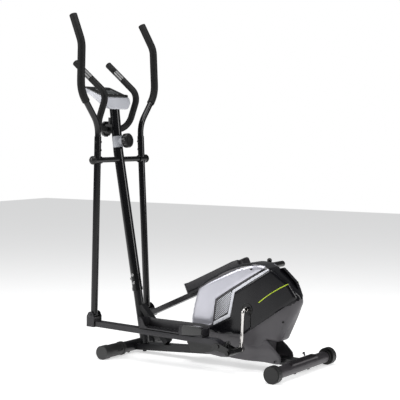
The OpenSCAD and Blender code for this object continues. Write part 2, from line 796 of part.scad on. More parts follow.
// Two metal half shells a side, with a gap between them
module pulse_plates() {
    plate_gap = 3;
    length = norm(pulse_to - pulse_from) - 1;
    color([0.72, 0.72, 0.74]) both_sides()
        translate(pulse_from + pulse_dir * 0.5) aim(pulse_dir) linear_extrude(length) difference() {
            ring(bar_foam_d - 0.4, bar_tube_d);
            square([2 * bar_foam_d, plate_gap], center = true);
        }
}

clamp_w = 46;

// The block that holds the handlebar on the front of the mast, with its cover plate
module handlebar_clamp() {
    color([0.06, 0.06, 0.06]) difference() {
        union() {
            translate([-508, -clamp_w / 2, bar_z - 22]) cube([50, clamp_w, 44]);
            translate([-500, -5, bar_z + 20]) cube([12, 10, 36]);
        }
        rod(on_mast(980), on_mast(1170), mast_d);
        bent_tube(bar_path, bar_bends, bar_tube_d, 0);
        translate([-512, 0, bar_z]) rotate([0, 90, 0]) cylinder(d = 10, h = 9);
    }
}

clamp_knob_d = 76;

module handlebar_knob() {
    lobes = 9;
    color([0.05, 0.05, 0.055]) translate([-508 - gap, 0, bar_z]) rotate([0, -90, 0]) {
        difference() {
            union() {
                cylinder(d = 34, h = 4);
                translate([0, 0, 4]) cylinder(d = clamp_knob_d, h = 12);
                translate([0, 0, 16]) dome(clamp_knob_d - 10, 5);
            }
            for (i = [0 : lobes - 1]) rotate(i * 360 / lobes) {
                translate([clamp_knob_d / 2 + 6, 0, 3]) cylinder(d = 18, h = 22);
            }
        }
        translate([0, 0, -3]) cylinder(d = 10 - 2 * fit, h = 3.1);
    }
}

// ---- console ----

console_low = [-447, 0, 1230];
console_len = 143;
face_t = 4;
screen_w = 118;
screen_l = 66;
screen_u = 62;
button_r = 7;
button_u = 32;
button_gap = 34;
button_travel = 1.5;

// Display frame: x runs up the display, z out of it, y towards the user's left
module on_display() {
    translate(console_low) rotate([0, -console_tilt, 180]) children();
}

// The console's outline from the front, narrower where it meets the mast
module console_outline() {
    translate([-700, 0, 0]) rotate([90, 0, 90]) linear_extrude(400) polygon([
        [-66, 1160], [66, 1160], [84, 1182], [console_half - 6, 1200], [console_half, 1225],
        [console_half, 1320], [-console_half, 1320], [-console_half, 1225], [-console_half + 6, 1200],
        [-84, 1182]]);
}

module console_shell() {
    color([0.72, 0.73, 0.76]) difference() {
        intersection() {
            slab([[-434, 1167], [-446, 1226], [-579, 1278], [-588, 1264], [-474, 1176]],
                 -console_half, console_half);
            console_outline();
        }
        on_display() translate([6, -console_half - 5, -face_t]) cube([console_len - 12, 2 * console_half + 10, 40]);
        on_display() translate([screen_u - screen_l / 2, -screen_w / 2, -16]) cube([screen_l, screen_w, 20]);
        for (i = [-1 : 1]) on_display() translate([button_u - 8, i * button_gap, -9]) cylinder(r = button_r + 1, h = 20);
        rod(on_mast(1100), mast_head + mast_up * 6, mast_d + 1);
    }
}

module console_face() {
    color([0.03, 0.03, 0.035]) on_display() difference() {
        union() {
            translate([6, -console_half + 2, -face_t]) cube([console_len - 12, 2 * console_half - 4, face_t + 1]);
            slab([[1, 0.4], [6, 0.4], [14, 1 - eps], [14, 1.5], [10, 9], [4, 9]],
                 -console_half + 14, console_half - 14);
            translate([24, -screen_w / 2 - 8, 1 - eps]) cube([screen_l + 44, screen_w + 16, 2]);
        }
        translate([screen_u - screen_l / 2 + 8, -screen_w / 2, 0]) cube([screen_l, screen_w, 8]);
        for (i = [-1 : 1]) translate([button_u - 8, i * button_gap, -10]) cylinder(r = button_r + 0.3, h = 20);
    }
}

module console_screen() {
    color([0.08, 0.1, 0.1]) on_display()
        translate([screen_u - screen_l / 2 + 8.2, -screen_w / 2 + 0.2, 0.1]) cube([screen_l - 0.4, screen_w - 0.4, 1.6]);
}

module console_button(i) {
    color([0.45, 0.46, 0.48]) on_display() translate([button_u - 8, i * button_gap, 0]) {
        translate([0, 0, -face_t - 1]) cylinder(r = button_r, h = face_t + 5);
        translate([0, 0, 4]) dome(2 * button_r, 1.4);
    }
}

module mode_button() console_button(-1);
module set_button() console_button(0);
module reset_button() console_button(1);

// ---- housing ----

// Side view of the housing, x and z
body_outline = [
    [24, 140], [0, 108], [34, 50], [180, 36], [233, 40], [342, 40], [420, 46], [426, 138],
    [489, 134], [560, 270], [580, 312], [576, 342], [516, 402], [440, 456], [400, 476], [352, 481],
    [283, 468], [210, 440], [120, 394], [68, 356], [56, 308], [42, 262], [28, 204]];

// Plan of the housing, x and y: full at the crank, narrow at both ends
function body_plan(half, cut) = [
    [-10 + cut, -half * 0.8], [40, -half * 0.94], [180, -half], [360, -half], [470, -half * 0.83],
    [560, -half * 0.5], [586 - cut, -half * 0.2], [586 - cut, 0], [-10 + cut, 0]];

// Half of the housing's outer form, on the left of the middle plane
module body_half_solid(half, cut) {
    intersection() {
        slab(body_outline, -half, 0);
        linear_extrude(600) polygon(body_plan(half, cut));
    }
}

// The hollow of a shell half: the outline drawn in towards its middle
hollow_mid = [300, 270];
module body_half_hollow() {
    shrink = 0.965;
    points = [for (p = body_outline) hollow_mid + (p - hollow_mid) * shrink];
    intersection() {
        slab(points, -body_half + shell, 1);
        linear_extrude(600) polygon([
            [-4 + shell, 1], [-4 + shell, -body_half * 0.62 + shell], [60, -body_half * 0.9 + shell],
            [180, -body_half + shell], [360, -body_half + shell], [470, -body_half * 0.83 + shell],
            [556, -body_half * 0.48 + shell], [580, -body_half * 0.18 + shell], [580, 1]]);
    }
}

// The fin of the housing beside the rear saddle, left side
fin_out = 66;
fin_t = 6;
module body_fin() {
    slab([[390, 60], [390, 146], [411, 154], [440, 134], [469, 107], [500, 77], [505, 60], [499, 45], [487, 38],
          [400, 45]], -fin_out, -fin_out + fin_t);
}

crank_hole_d = 46;

module housing_half() {
    difference() {
        union() {
            body_half_solid(body_half, 0);
            body_fin();
        }
        body_half_hollow();
        y_rod(crank_x, crank_z, -body_half - 20, 1, crank_hole_d);
        rail_solid(rail_w + 2, rail_h + 2);
        y_rod(rear_x, rear_z, -200, 200, foot_tube_d + 16);
    }
}

module housing_left() color([0.28, 0.28, 0.3]) housing_half();
module housing_right() color([0.28, 0.28, 0.3]) mirror([0, 1, 0]) housing_half();

silver_outline = [
    [78, 342], [57, 302], [44, 258], [31, 202], [28, 156], [157, 187], [175, 303], [250, 352], [430, 462],
    [395, 470], [342, 466], [280, 443], [205, 409], [139, 377]];
vent_outline = [[160, 190], [177, 301], [252, 350], [432, 460], [440, 452], [272, 350], [248, 243]];
black_outline = [
    [161, 186], [108, 158], [190, 148], [326, 160], [520, 288], [572, 336], [512, 396], [452, 444],
    [441, 450], [274, 348], [250, 241]];

// A thin cover on the side of the housing, following its plan
module side_cover(points, proud) {
    intersection() {
        slab(points, -120, -10);
        difference() {
            linear_extrude(600) polygon(body_plan(body_half + proud, 0.2));
            linear_extrude(600) polygon(body_plan(body_half + 0.1, 0));
        }
    }
}

module silver_panels() color([0.74, 0.76, 0.8]) both_sides() side_cover(silver_outline, 5);

module vents() {
    slots = 9;
    color([0.66, 0.68, 0.71]) both_sides() difference() {
        side_cover(vent_outline, 4);
        for (i = [0 : slots - 1]) {
            z = 214 + 13 * i;
            slab([[168 + 1.2 * i, z], [232 + 2 * i, z + 22], [232 + 2 * i, z + 26], [168 + 1.2 * i, z + 4]],
                 -body_half - 5, -body_half - 2);
        }
    }
}

ring_in = 34;
ring_out = 56;

module black_panels() {
    color([0.03, 0.03, 0.035]) both_sides() difference() {
        side_cover(black_outline, 8);
        y_rod(crank_x, crank_z, -body_half - 20, 0, ring_out + 0.2);
        slab([[crank_x - 19, crank_z], [crank_x - 22, 140], [crank_x + 16, 140], [crank_x + 19, crank_z]],
             -body_half - 20, -body_half - 4);
        stripe_cut();
    }
}

// The curved accent line, as a groove for the black panel or as the inlay itself
stripe_centre = [843, 0, -207.3];
stripe_r = 679.6;
module stripe_band(w, y0, y1) {
    intersection() {
        difference() {
            y_rod(stripe_centre[0], stripe_centre[2], y0, y1, 2 * stripe_r + w, $fn = 720);
            y_rod(stripe_centre[0], stripe_centre[2], y0 - 1, y1 + 1, 2 * stripe_r - w, $fn = 720);
        }
        slab([[400, 300], [600, 300], [600, 410], [400, 410]], y0, y1);
    }
}

module stripe_cut() stripe_band(5, -120, -10);

module accent_stripes() {
    color([0.7, 0.85, 0.1]) both_sides() intersection() {
        stripe_band(4.6, -110, -20);
        side_cover(black_outline, 8.6);
    }
}

module hub_rings() {
    color([0.12, 0.12, 0.13]) both_sides() difference() {
        y_rod(crank_x, crank_z, -body_half - 10, -body_half - 0.2, ring_out);
        y_rod(crank_x, crank_z, -body_half - 11, -body_half + 10, ring_in);
        y_rod(crank_x, crank_z, -body_half - 11, -body_half - 7, ring_out - 10);
    }
}

// The dark nose piece that closes the front of the housing above the rail
module chin_cover() {
    color([0.08, 0.08, 0.09]) both_sides() intersection() {
        slab([[-3, 107], [32, 50], [90, 46], [150, 62], [200, 90], [196, 96], [150, 108], [88, 120], [30, 122]],
             -body_half, -rail_w / 2 - 6);
        difference() {
            linear_extrude(300) polygon(body_plan(body_half + 4, -4));
            linear_extrude(300) polygon(body_plan(body_half + 0.1, 0));
        }
    }
}

// A cross-head screw seated on a face that looks to -Y
module screw_head() {
    rotate([90, 0, 0]) difference() {
        cylinder(d = 9, h = 3);
        translate([-4, -0.8, 2]) cube([8, 1.6, 2]);
        translate([-0.8, -4, 2]) cube([1.6, 8, 2]);
    }
}

// Screws that hold the two shells together
module shroud_screws() {
    color([0.1, 0.1, 0.1]) both_sides() {
        for (p = [[362, 455, 75.4], [512, 228, 49.2], [479, 51, fin_out + 0.1]])
            translate([p[0], -p[2], p[1]]) screw_head();
    }
}

// ---- drive, inside the housing ----

crank_axle_d = 20;
pulley_y = -26;
pulley_w = 16;
fly_x = 186;
fly_z = 236;
fly_axle_d = 12;
fly_pulley_d = 34;
fly_half = 12;
fly_mid = 14;
magnet_r = flywheel_d / 2 + 2;
arm_pin = [fly_x + 6, fly_z + magnet_r + 3.5];
arm_pin_d = 8;

module crank_bearings() {
    color([0.55, 0.56, 0.58]) both_sides() difference() {
        y_rod(crank_x, crank_z, -54, -41, 42);
        y_rod(crank_x, crank_z, -55, -40, crank_axle_d + 2 * fit);
    }
}

// Two steel cheeks that carry the crank bearings and the flywheel axle, with feet on the rail
module drive_bracket() {
    cheek_in = 42;
    cheek_out = 48;
    color([0.1, 0.1, 0.11]) both_sides() {
        difference() {
            slab([[190, 76], [404, 69.5], [372, 296], [350, 304], [330, 304], [222, 326],
                  [210, 360], [180, 360], [160, 240]], -cheek_out, -cheek_in);
            y_rod(crank_x, crank_z, -70, -30, 42);
            y_rod(fly_x, fly_z, -70, -30, fly_axle_d);
            y_rod(arm_pin[0], arm_pin[1], -70, -30, arm_pin_d);
            y_rod(270, 170, -70, -30, 90);
        }
        slab([[200, 72.4], [404, 66.2], [404, 71.2], [200, 77.4]], -cheek_out, -20);
    }
}

module flywheel_axle() {
    color([0.7, 0.7, 0.72]) y_rod(fly_x, fly_z, -54, 54, fly_axle_d);
}

module crank_axle() {
    color([0.75, 0.75, 0.77]) y_rod(crank_x, crank_z, -84, 84, crank_axle_d);
}

module drive_pulley() {
    holes = 6;
    color([0.12, 0.12, 0.13]) difference() {
        union() {
            y_rod(crank_x, crank_z, pulley_y - pulley_w / 2, pulley_y + pulley_w / 2, pulley_d);
            y_rod(crank_x, crank_z, pulley_y - 14, pulley_y + 14, 50);
        }
        y_rod(crank_x, crank_z, pulley_y - 20, pulley_y + 20, crank_axle_d);
        for (i = [0 : holes - 1]) {
            a = 360 * i / holes;
            y_rod(crank_x + 68 * cos(a), crank_z + 68 * sin(a), pulley_y - 20, pulley_y + 20, 44);
        }
    }
}

module flywheel() {
    color([0.3, 0.3, 0.32]) difference() {
        union() {
            y_rod(fly_x, fly_z, fly_mid - fly_half, fly_mid + fly_half, flywheel_d);
            y_rod(fly_x, fly_z, -36, 30, fly_pulley_d);
        }
        y_rod(fly_x, fly_z, fly_mid + 5, fly_mid + 40, flywheel_d - 40);
        y_rod(fly_x, fly_z, -40, 40, fly_axle_d + 2 * fit);
    }
}

// The belt's outline around the two pulleys
function belt_loop(r_big, r_small) =
    let (reach = [crank_x - fly_x, crank_z - fly_z], lean = atan2(reach[1], reach[0]))
    let (spread = 180 - acos((r_big - r_small) / norm(reach)))
    concat(
        [for (k = [0 : 36]) let (a = lean - spread + 2 * spread * k / 36)
            [crank_x, crank_z] + r_big * [cos(a), sin(a)]],
        [for (k = [0 : 12]) let (a = lean + spread + (360 - 2 * spread) * k / 12)
            [fly_x, fly_z] + r_small * [cos(a), sin(a)]]);

module drive_belt() {
    slack = 0.6;
    color([0.06, 0.06, 0.06]) difference() {
        slab(belt_loop(pulley_d / 2 + slack + 2.4, fly_pulley_d / 2 + slack + 2.4), pulley_y - 6, pulley_y + 6);
        slab(belt_loop(pulley_d / 2 + slack, fly_pulley_d / 2 + slack), pulley_y - 7, pulley_y + 7);
    }
}

// The arm with magnets that brakes the flywheel's rim, on its pin between the cheeks
module magnet_arm() {
    color([0.5, 0.5, 0.52]) {
        difference() {
            intersection() {
                y_rod(fly_x, fly_z, fly_mid - 14, fly_mid + 14, 2 * magnet_r + 14);
                slab([[fly_x, fly_z], [fly_x - 140, fly_z + 20], [fly_x - 140, fly_z + 160],
                      [fly_x + 20, fly_z + 160]], -60, 60);
            }
            y_rod(fly_x, fly_z, -60, 60, 2 * magnet_r);
        }
        y_rod(arm_pin[0], arm_pin[1], -50, 50, arm_pin_d);
    }
}

// ---- cranks: drawn for the right side with the crank axis at the origin, arm up ----

arm_y = 108;
arm_d = 18;

module crank_shape() {
    bent_tube([[0, 84, 0], [0, arm_y, 0], [0, arm_y, crank_r - 8]], [0, 16, 0], arm_d, 0);
    translate([0, 0, crank_r]) {
        y_rod(0, 0, arm_y - 11, arm_y + 10, 26);
        y_rod(0, 0, arm_y + 10, 120, 20);
    }
}

module left_crank() {
    color([0.8, 0.8, 0.82]) translate([crank_x, 0, crank_z])
        rotate([0, 180 + crank_phase, 0]) mirror([0, 1, 0]) crank_shape();
}

module right_crank() {
    color([0.8, 0.8, 0.82]) translate([crank_x, 0, crank_z]) rotate([0, crank_phase, 0]) crank_shape();
}

base_frame();
front_stabilizer();
front_end_caps();
rear_stabilizer();
rear_end_caps();
rear_saddle();
frame_bolts();
mast();
mast_bolts();
scale_plate();
knob_base();
lever_axle();
axle_caps();
fixed_handlebar();
fixed_grips();
pulse_plates();
handlebar_clamp();
console_shell();
console_face();
console_screen();
housing_left();
housing_right();
silver_panels();
vents();
black_panels();
accent_stripes();
hub_rings();
chin_cover();
shroud_screws();
crank_bearings();
drive_bracket();
flywheel_axle();
magnet_arm();
drive_belt();
crank_axle();
drive_pulley();
left_crank();
right_crank();
flywheel();
tension_knob();
handlebar_knob();
mode_button();
set_button();
reset_button();
left_wheel();
right_wheel();
left_lever();
right_lever();
left_handle();
right_handle();
left_grip();
right_grip();
left_lever_bolts();
right_lever_bolts();
left_bar();
right_bar();
left_pedal();
right_pedal();
left_rear_joint();
right_rear_joint();
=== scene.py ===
import json
import math

import bmesh
import bpy
import numpy as np
from mathutils import Matrix, Vector


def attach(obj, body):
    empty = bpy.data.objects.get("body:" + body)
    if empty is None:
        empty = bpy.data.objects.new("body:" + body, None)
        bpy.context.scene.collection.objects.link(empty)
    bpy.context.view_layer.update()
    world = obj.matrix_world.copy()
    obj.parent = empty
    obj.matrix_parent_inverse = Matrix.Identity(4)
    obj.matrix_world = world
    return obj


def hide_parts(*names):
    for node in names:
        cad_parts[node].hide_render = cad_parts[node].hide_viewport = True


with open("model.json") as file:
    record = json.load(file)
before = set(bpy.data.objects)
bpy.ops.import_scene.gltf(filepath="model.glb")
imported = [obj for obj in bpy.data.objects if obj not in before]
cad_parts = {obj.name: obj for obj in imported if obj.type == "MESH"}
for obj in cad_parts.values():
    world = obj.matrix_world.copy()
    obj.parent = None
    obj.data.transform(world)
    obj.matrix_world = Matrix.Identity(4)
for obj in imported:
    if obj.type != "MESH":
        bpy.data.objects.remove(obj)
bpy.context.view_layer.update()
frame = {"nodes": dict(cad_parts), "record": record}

nodes = frame["nodes"]
MM = 0.001

# ---- sizes shared with the part, in millimetres ----

AXLE = (-432.5, 928.0)
LEVER_Y = 172.0
SWING = {-1: 1.96826, 1: -2.41668}
LEFT_PIVOT = (-457.847, 190.435)
RIGHT_PIVOT = (-401.381, 190.656)
PIVOT = {-1: LEFT_PIVOT, 1: RIGHT_PIVOT}
PIN_DROP = 5.3
BAR_TURN = {-1: -6.65944 + PIN_DROP, 1: 19.021 + PIN_DROP}
CRANK = (341.0, 274.0)
SIDE_NAME = {-1: "left", 1: "right"}


# ---- materials ----

class Nodes:
    """A short way to write a node material."""

    def __init__(self, name):
        self.mat = bpy.data.materials.new(name)
        self.mat.use_nodes = True
        self.tree = self.mat.node_tree
        self.bsdf = self.tree.nodes["Principled BSDF"]

    def node(self, kind, **values):
        n = self.tree.nodes.new(kind)
        for key, value in values.items():
            if hasattr(n, key):
                setattr(n, key, value)
            else:
                n.inputs[key.replace("_", " ").title()].default_value = value
        return n

    def link(self, a, b):
        self.tree.links.new(a, b)

    def coords(self, scale=(1, 1, 1)):
        tex = self.node("ShaderNodeTexCoord")
        mapping = self.node("ShaderNodeMapping")
        mapping.inputs["Scale"].default_value = scale
        self.link(tex.outputs["Object"], mapping.inputs["Vector"])
        return mapping.outputs["Vector"]

    def noise(self, vector, scale, detail=4.0, rough=0.55):
        n = self.node("ShaderNodeTexNoise")
        n.inputs["Scale"].default_value = scale
        n.inputs["Detail"].default_value = detail
        n.inputs["Roughness"].default_value = rough
        self.link(vector, n.inputs["Vector"])
        return n.outputs["Fac"]

    def ramp(self, fac, stops):
        n = self.node("ShaderNodeValToRGB")
        while len(n.color_ramp.elements) < len(stops):
            n.color_ramp.elements.new(0.5)
        for element, (at, colour) in zip(n.color_ramp.elements, stops):
            element.position = at
            element.color = colour if len(colour) == 4 else (*colour, 1)
        self.link(fac, n.inputs["Fac"])
        return n.outputs["Color"]

    def spread(self, fac, low, high):
        n = self.node("ShaderNodeMapRange")
        n.inputs["To Min"].default_value = low
        n.inputs["To Max"].default_value = high
        self.link(fac, n.inputs["Value"])
        return n.outputs["Result"]

    def bump(self, height, strength, distance):
        n = self.node("ShaderNodeBump")
        n.inputs["Strength"].default_value = strength
        n.inputs["Distance"].default_value = distance
        self.link(height, n.inputs["Height"])
        self.link(n.outputs["Normal"], self.bsdf.inputs["Normal"])

    def set(self, **values):
        names = {"metallic": "Metallic", "ior": "IOR", "coat": "Coat Weight",
                 "coat_rough": "Coat Roughness", "specular": "Specular IOR Level",
                 "sheen": "Sheen Weight", "sheen_rough": "Sheen Roughness", "rough": "Roughness"}
        for key, value in values.items():
            self.bsdf.inputs[names[key]].default_value = value


def grey(v):
    return (v, v, v)


def surface(name, dark, light, rough, grain_scale, grain, wear_scale=9.0, **settings):
    """Colour that varies a little in patches, roughness with smudges, and a fine grain in the bump."""
    m = Nodes(name)
    at = m.coords()
    patches = m.noise(at, wear_scale, 5.0)
    m.link(m.ramp(patches, [(0.3, dark), (0.7, light)]), m.bsdf.inputs["Base Color"])
    smudge = m.noise(at, wear_scale * 3.7, 3.0)
    m.link(m.spread(smudge, rough[0], rough[1]), m.bsdf.inputs["Roughness"])
    m.bump(m.noise(at, grain_scale, 3.0, 0.6), grain[0], grain[1])
    m.set(**settings)
    return m.mat


def foam_material():
    m = Nodes("foam")
    at = m.coords()
    cells = m.node("ShaderNodeTexVoronoi")
    cells.inputs["Scale"].default_value = 620.0
    m.link(at, cells.inputs["Vector"])
    patches = m.noise(at, 30.0, 5.0)
    m.link(m.ramp(patches, [(0.25, grey(0.004)), (0.75, grey(0.008))]), m.bsdf.inputs["Base Color"])
    m.link(m.spread(m.noise(at, 90.0), 0.5, 0.66), m.bsdf.inputs["Roughness"])
    m.bump(cells.outputs["Distance"], 0.35, 0.0006)
    m.set(specular=0.22, sheen=0.02, sheen_rough=0.5)
    return m.mat


def brushed(name, dark, light, rough, stretch, **settings):
    """Metal with fine lines drawn along one axis."""
    m = Nodes(name)
    at = m.coords(stretch)
    lines = m.noise(at, 60.0, 4.0, 0.7)
    m.link(m.ramp(lines, [(0.3, dark), (0.7, light)]), m.bsdf.inputs["Base Color"])
    m.link(m.spread(lines, rough[0], rough[1]), m.bsdf.inputs["Roughness"])
    m.bump(lines, 0.12, 0.0003)
    m.set(metallic=1.0, **settings)
    return m.mat


MATS = {
    "gloss_black_paint": surface("gloss_black_paint", (0.0028, 0.0027, 0.0034), (0.0045, 0.0044, 0.0052),
                                 (0.13, 0.2), 420.0, (0.03, 0.0004), specular=0.3, coat=0.25,
                                 coat_rough=0.08),
    "frame_black": surface("frame_black", (0.005, 0.005, 0.006), (0.008, 0.008, 0.0095), (0.26, 0.36), 500.0,
                           (0.12, 0.0004), specular=0.35, coat=0.2, coat_rough=0.2),
    "bar_grey": surface("bar_grey", (0.016, 0.015, 0.018), (0.024, 0.023, 0.027), (0.3, 0.4), 700.0,
                        (0.15, 0.0004), specular=0.45),
    "joint_black": surface("joint_black", grey(0.004), grey(0.008), (0.2, 0.3), 500.0, (0.08, 0.0004),
                           specular=0.5),
    "stabilizer_grey": surface("stabilizer_grey", (0.040, 0.036, 0.040), (0.056, 0.051, 0.056), (0.3, 0.42),
                               700.0, (0.12, 0.0003), metallic=0.55, specular=0.5),
    "cap_grey": surface("cap_grey", grey(0.022), grey(0.034), (0.42, 0.52), 900.0, (0.3, 0.0005),
                        specular=0.5),
    "cap_black": surface("cap_black", grey(0.005), grey(0.009), (0.34, 0.46), 900.0, (0.25, 0.0005),
                         specular=0.45),
    "fastener_black": surface("fastener_black", grey(0.010), grey(0.018), (0.3, 0.42), 400.0, (0.1, 0.0003),
                              metallic=0.7),
    "fastener_zinc": surface("fastener_zinc", grey(0.30), grey(0.42), (0.25, 0.4), 500.0, (0.12, 0.0003),
                             metallic=1.0),
    "scale_grey": surface("scale_grey", (0.36, 0.37, 0.40), (0.42, 0.43, 0.46), (0.34, 0.44), 900.0,
                          (0.15, 0.0003), specular=0.5),
    "foam": foam_material(),
    "pulse_steel": brushed("pulse_steel", grey(0.07), grey(0.13), (0.24, 0.36), (1, 1, 8)),
    "console_silver": surface("console_silver", (0.50, 0.51, 0.55), (0.58, 0.59, 0.63), (0.3, 0.38), 1100.0,
                              (0.1, 0.0003), metallic=0.25, specular=0.5),
    "console_black": surface("console_black", grey(0.005), grey(0.009), (0.2, 0.3), 900.0, (0.12, 0.0004),
                             specular=0.5),
    "screen": surface("screen", (0.016, 0.020, 0.020), (0.022, 0.027, 0.026), (0.06, 0.1), 500.0,
                      (0.01, 0.0002), coat=1.0, coat_rough=0.03),
    "housing_grey": surface("housing_grey", (0.070, 0.066, 0.072), (0.084, 0.079, 0.086), (0.36, 0.44),
                            1100.0, (0.12, 0.0003), specular=0.5),
    "housing_silver": surface("housing_silver", (0.56, 0.56, 0.62), (0.63, 0.63, 0.69), (0.26, 0.33), 1200.0,
                              (0.06, 0.0003), metallic=0.5, specular=0.5, coat=0.3, coat_rough=0.15),
    "vent_silver": surface("vent_silver", (0.74, 0.75, 0.80), (0.80, 0.81, 0.86), (0.3, 0.38), 1200.0,
                           (0.08, 0.0003), metallic=0.15),
    "vent_shadow": surface("vent_shadow", grey(0.02), grey(0.03), (0.5, 0.6), 700.0, (0.1, 0.0003)),
    "housing_black": surface("housing_black", (0.0035, 0.0033, 0.0048), (0.0050, 0.0048, 0.0064),
                             (0.16, 0.24), 500.0, (0.015, 0.0003), specular=0.3, coat=0.1, coat_rough=0.1),
    "housing_band": surface("housing_band", (0.018, 0.018, 0.020), (0.026, 0.026, 0.029), (0.14, 0.2), 900.0,
                            (0.03, 0.0003), specular=0.55, coat=0.4, coat_rough=0.1),
    "accent_green": surface("accent_green", (0.50, 0.66, 0.02), (0.58, 0.74, 0.04), (0.3, 0.4), 700.0,
                            (0.05, 0.0002)),
    "bearing_steel": surface("bearing_steel", grey(0.35), grey(0.45), (0.25, 0.35), 600.0, (0.1, 0.0003),
                             metallic=1.0),
    "belt_rubber": surface("belt_rubber", grey(0.010), grey(0.018), (0.6, 0.75), 700.0, (0.3, 0.0004)),
    "crank_chrome": surface("crank_chrome", (0.62, 0.60, 0.58), (0.72, 0.70, 0.68), (0.07, 0.13), 300.0,
                            (0.02, 0.0003), metallic=1.0),
    "flywheel_iron": surface("flywheel_iron", grey(0.10), grey(0.16), (0.4, 0.5), 500.0, (0.3, 0.0005),
                             metallic=0.8),
    "knob_black": surface("knob_black", grey(0.005), grey(0.010), (0.26, 0.36), 900.0, (0.15, 0.0004),
                          specular=0.5),
    "button_grey": surface("button_grey", grey(0.14), grey(0.19), (0.4, 0.5), 700.0, (0.1, 0.0003)),
    "wheel_rubber": surface("wheel_rubber", grey(0.008), grey(0.014), (0.5, 0.62), 800.0, (0.2, 0.0004)),
    "pedal_black": surface("pedal_black", (0.013, 0.012, 0.015), (0.020, 0.019, 0.022), (0.36, 0.46), 1000.0,
                           (0.3, 0.0005), specular=0.4),
    "pedal_gloss": surface("pedal_gloss", grey(0.004), grey(0.007), (0.12, 0.2), 600.0, (0.03, 0.0003),
                           specular=0.5, coat=0.4, coat_rough=0.08),
    "floor": surface("floor", grey(0.86), grey(0.89), (0.55, 0.65), 60.0, (0.02, 0.001)),
}

FLOOR_GLOW = 0.56
floor_glow = MATS["floor"].node_tree.nodes["Principled BSDF"]
floor_glow.inputs["Emission Color"].default_value = (1, 1, 1, 1)
floor_glow.inputs["Emission Strength"].default_value = FLOOR_GLOW

slot_of = {s["node"]: s["material_slot"] for s in frame["record"]["subparts"]}
for node_name, obj in nodes.items():
    mat = MATS[slot_of[node_name]]
    if obj.material_slots:
        for s in obj.material_slots:
            s.material = mat
    else:
        obj.data.materials.append(mat)


# ---- mesh helpers, in millimetres ----

def place(obj, matrix=None):
    scale = Matrix.Scale(MM, 4)
    obj.data.transform(scale @ (matrix or Matrix.Identity(4)))
    return obj


def lever_matrix(side):
    return Matrix.Translation((AXLE[0], 0, AXLE[1])) @ Matrix.Rotation(math.radians(SWING[side]), 4, "Y")


def bar_matrix(side):
    return Matrix.Translation((PIVOT[side][0], 0, PIVOT[side][1])) @ Matrix.Rotation(
        -math.radians(BAR_TURN[side]), 4, "Y")


def finish_mesh(bm, name, materials, sharp=38.0, matrix=None):
    bmesh.ops.recalc_face_normals(bm, faces=bm.faces)
    mesh = bpy.data.meshes.new(name)
    bm.to_mesh(mesh)
    bm.free()
    for m in materials if isinstance(materials, (list, tuple)) else [materials]:
        mesh.materials.append(MATS[m])
    mesh.shade_smooth()
    mesh.set_sharp_from_angle(angle=math.radians(sharp))
    obj = bpy.data.objects.new(name, mesh)
    bpy.context.collection.objects.link(obj)
    return place(obj, matrix)


def add(obj, body, slot, *replaced):
    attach(obj, body)
    if replaced:
        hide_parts(*replaced)
    return obj


def round_path(points, radii, step=7.0):
    """Points of a path whose corners are rounded by arcs."""
    p = [Vector(q) for q in points]
    out = [p[0]]
    for i in range(1, len(p) - 1):
        u = (p[i] - p[i - 1]).normalized()
        v = (p[i + 1] - p[i]).normalized()
        turn = u.angle(v)
        if turn < 1e-4 or radii[i] <= 0:
            out.append(p[i])
            continue
        side = u.cross(u.cross(v).normalized())
        centre = p[i] - u * radii[i] * math.tan(turn / 2) - side * radii[i]
        steps = max(6, int(math.degrees(turn) / step) + 1)
        for k in range(steps + 1):
            a = turn * k / steps
            out.append(centre + side * radii[i] * math.cos(a) + u * radii[i] * math.sin(a))
    out.append(p[-1])
    return out


def tube(name, path, profile, material, sides=40, matrix=None):
    """A closed skin round a path, from (distance, radius). A distance below 0 counts from the end."""
    pts = [Vector(q) for q in path]
    length = [0.0]
    for a, b in zip(pts, pts[1:]):
        length.append(length[-1] + (b - a).length)
    total = length[-1]
    marks = [s if s >= 0 else total + s for s, _ in profile]
    stations = sorted({round(s, 4) for s in marks + length})
    keys = sorted((s if s >= 0 else total + s, r) for s, r in profile)

    def at(s):
        s = min(max(s, 0.0), total)
        for i in range(len(pts) - 1):
            if s <= length[i + 1] + 1e-9:
                f = (s - length[i]) / max(length[i + 1] - length[i], 1e-9)
                return pts[i].lerp(pts[i + 1], f)
        return pts[-1]

    def direction(s):
        return (at(min(s + 0.5, total)) - at(max(s - 0.5, 0.0))).normalized()

    rings = []
    for s in stations:
        radii = [r for k, r in keys if abs(k - s) < 1e-3]
        if not radii:
            lo = max((k for k in keys if k[0] <= s), key=lambda k: k[0], default=keys[0])
            hi = min((k for k in keys if k[0] >= s), key=lambda k: k[0], default=keys[-1])
            span = hi[0] - lo[0]
            f = (s - lo[0]) / span if span > 1e-6 else 0.0
            radii = [lo[1] + (hi[1] - lo[1]) * f]
        for r in radii:
            rings.append((s, r))
    bm = bmesh.new()
    last = Vector((0.31, 0.89, 0.33))
    loops = []
    for s, r in rings:
        t = direction(s)
        e = (last - t * last.dot(t)).normalized()
        last = e
        f = t.cross(e)
        c = at(s)
        ring = []
        for k in range(sides):
            a = 2 * math.pi * k / sides
            ring.append(bm.verts.new(c + (e * math.cos(a) + f * math.sin(a)) * r))
        loops.append(ring)
    for a, b in zip(loops, loops[1:]):
        for k in range(sides):
            bm.faces.new((a[k], a[(k + 1) % sides], b[(k + 1) % sides], b[k]))
    bm.faces.new(loops[0])
    bm.faces.new(loops[-1])
    return finish_mesh(bm, name, material, matrix=matrix)


def soft_ends(r, c=1.5):
    """A tube's profile with rounded rims at both ends."""
    k = c * 0.3
    return [(0, r - c), (k, r - k), (c, r), (-c, r), (-k, r - k), (-1e-6, r - c)]


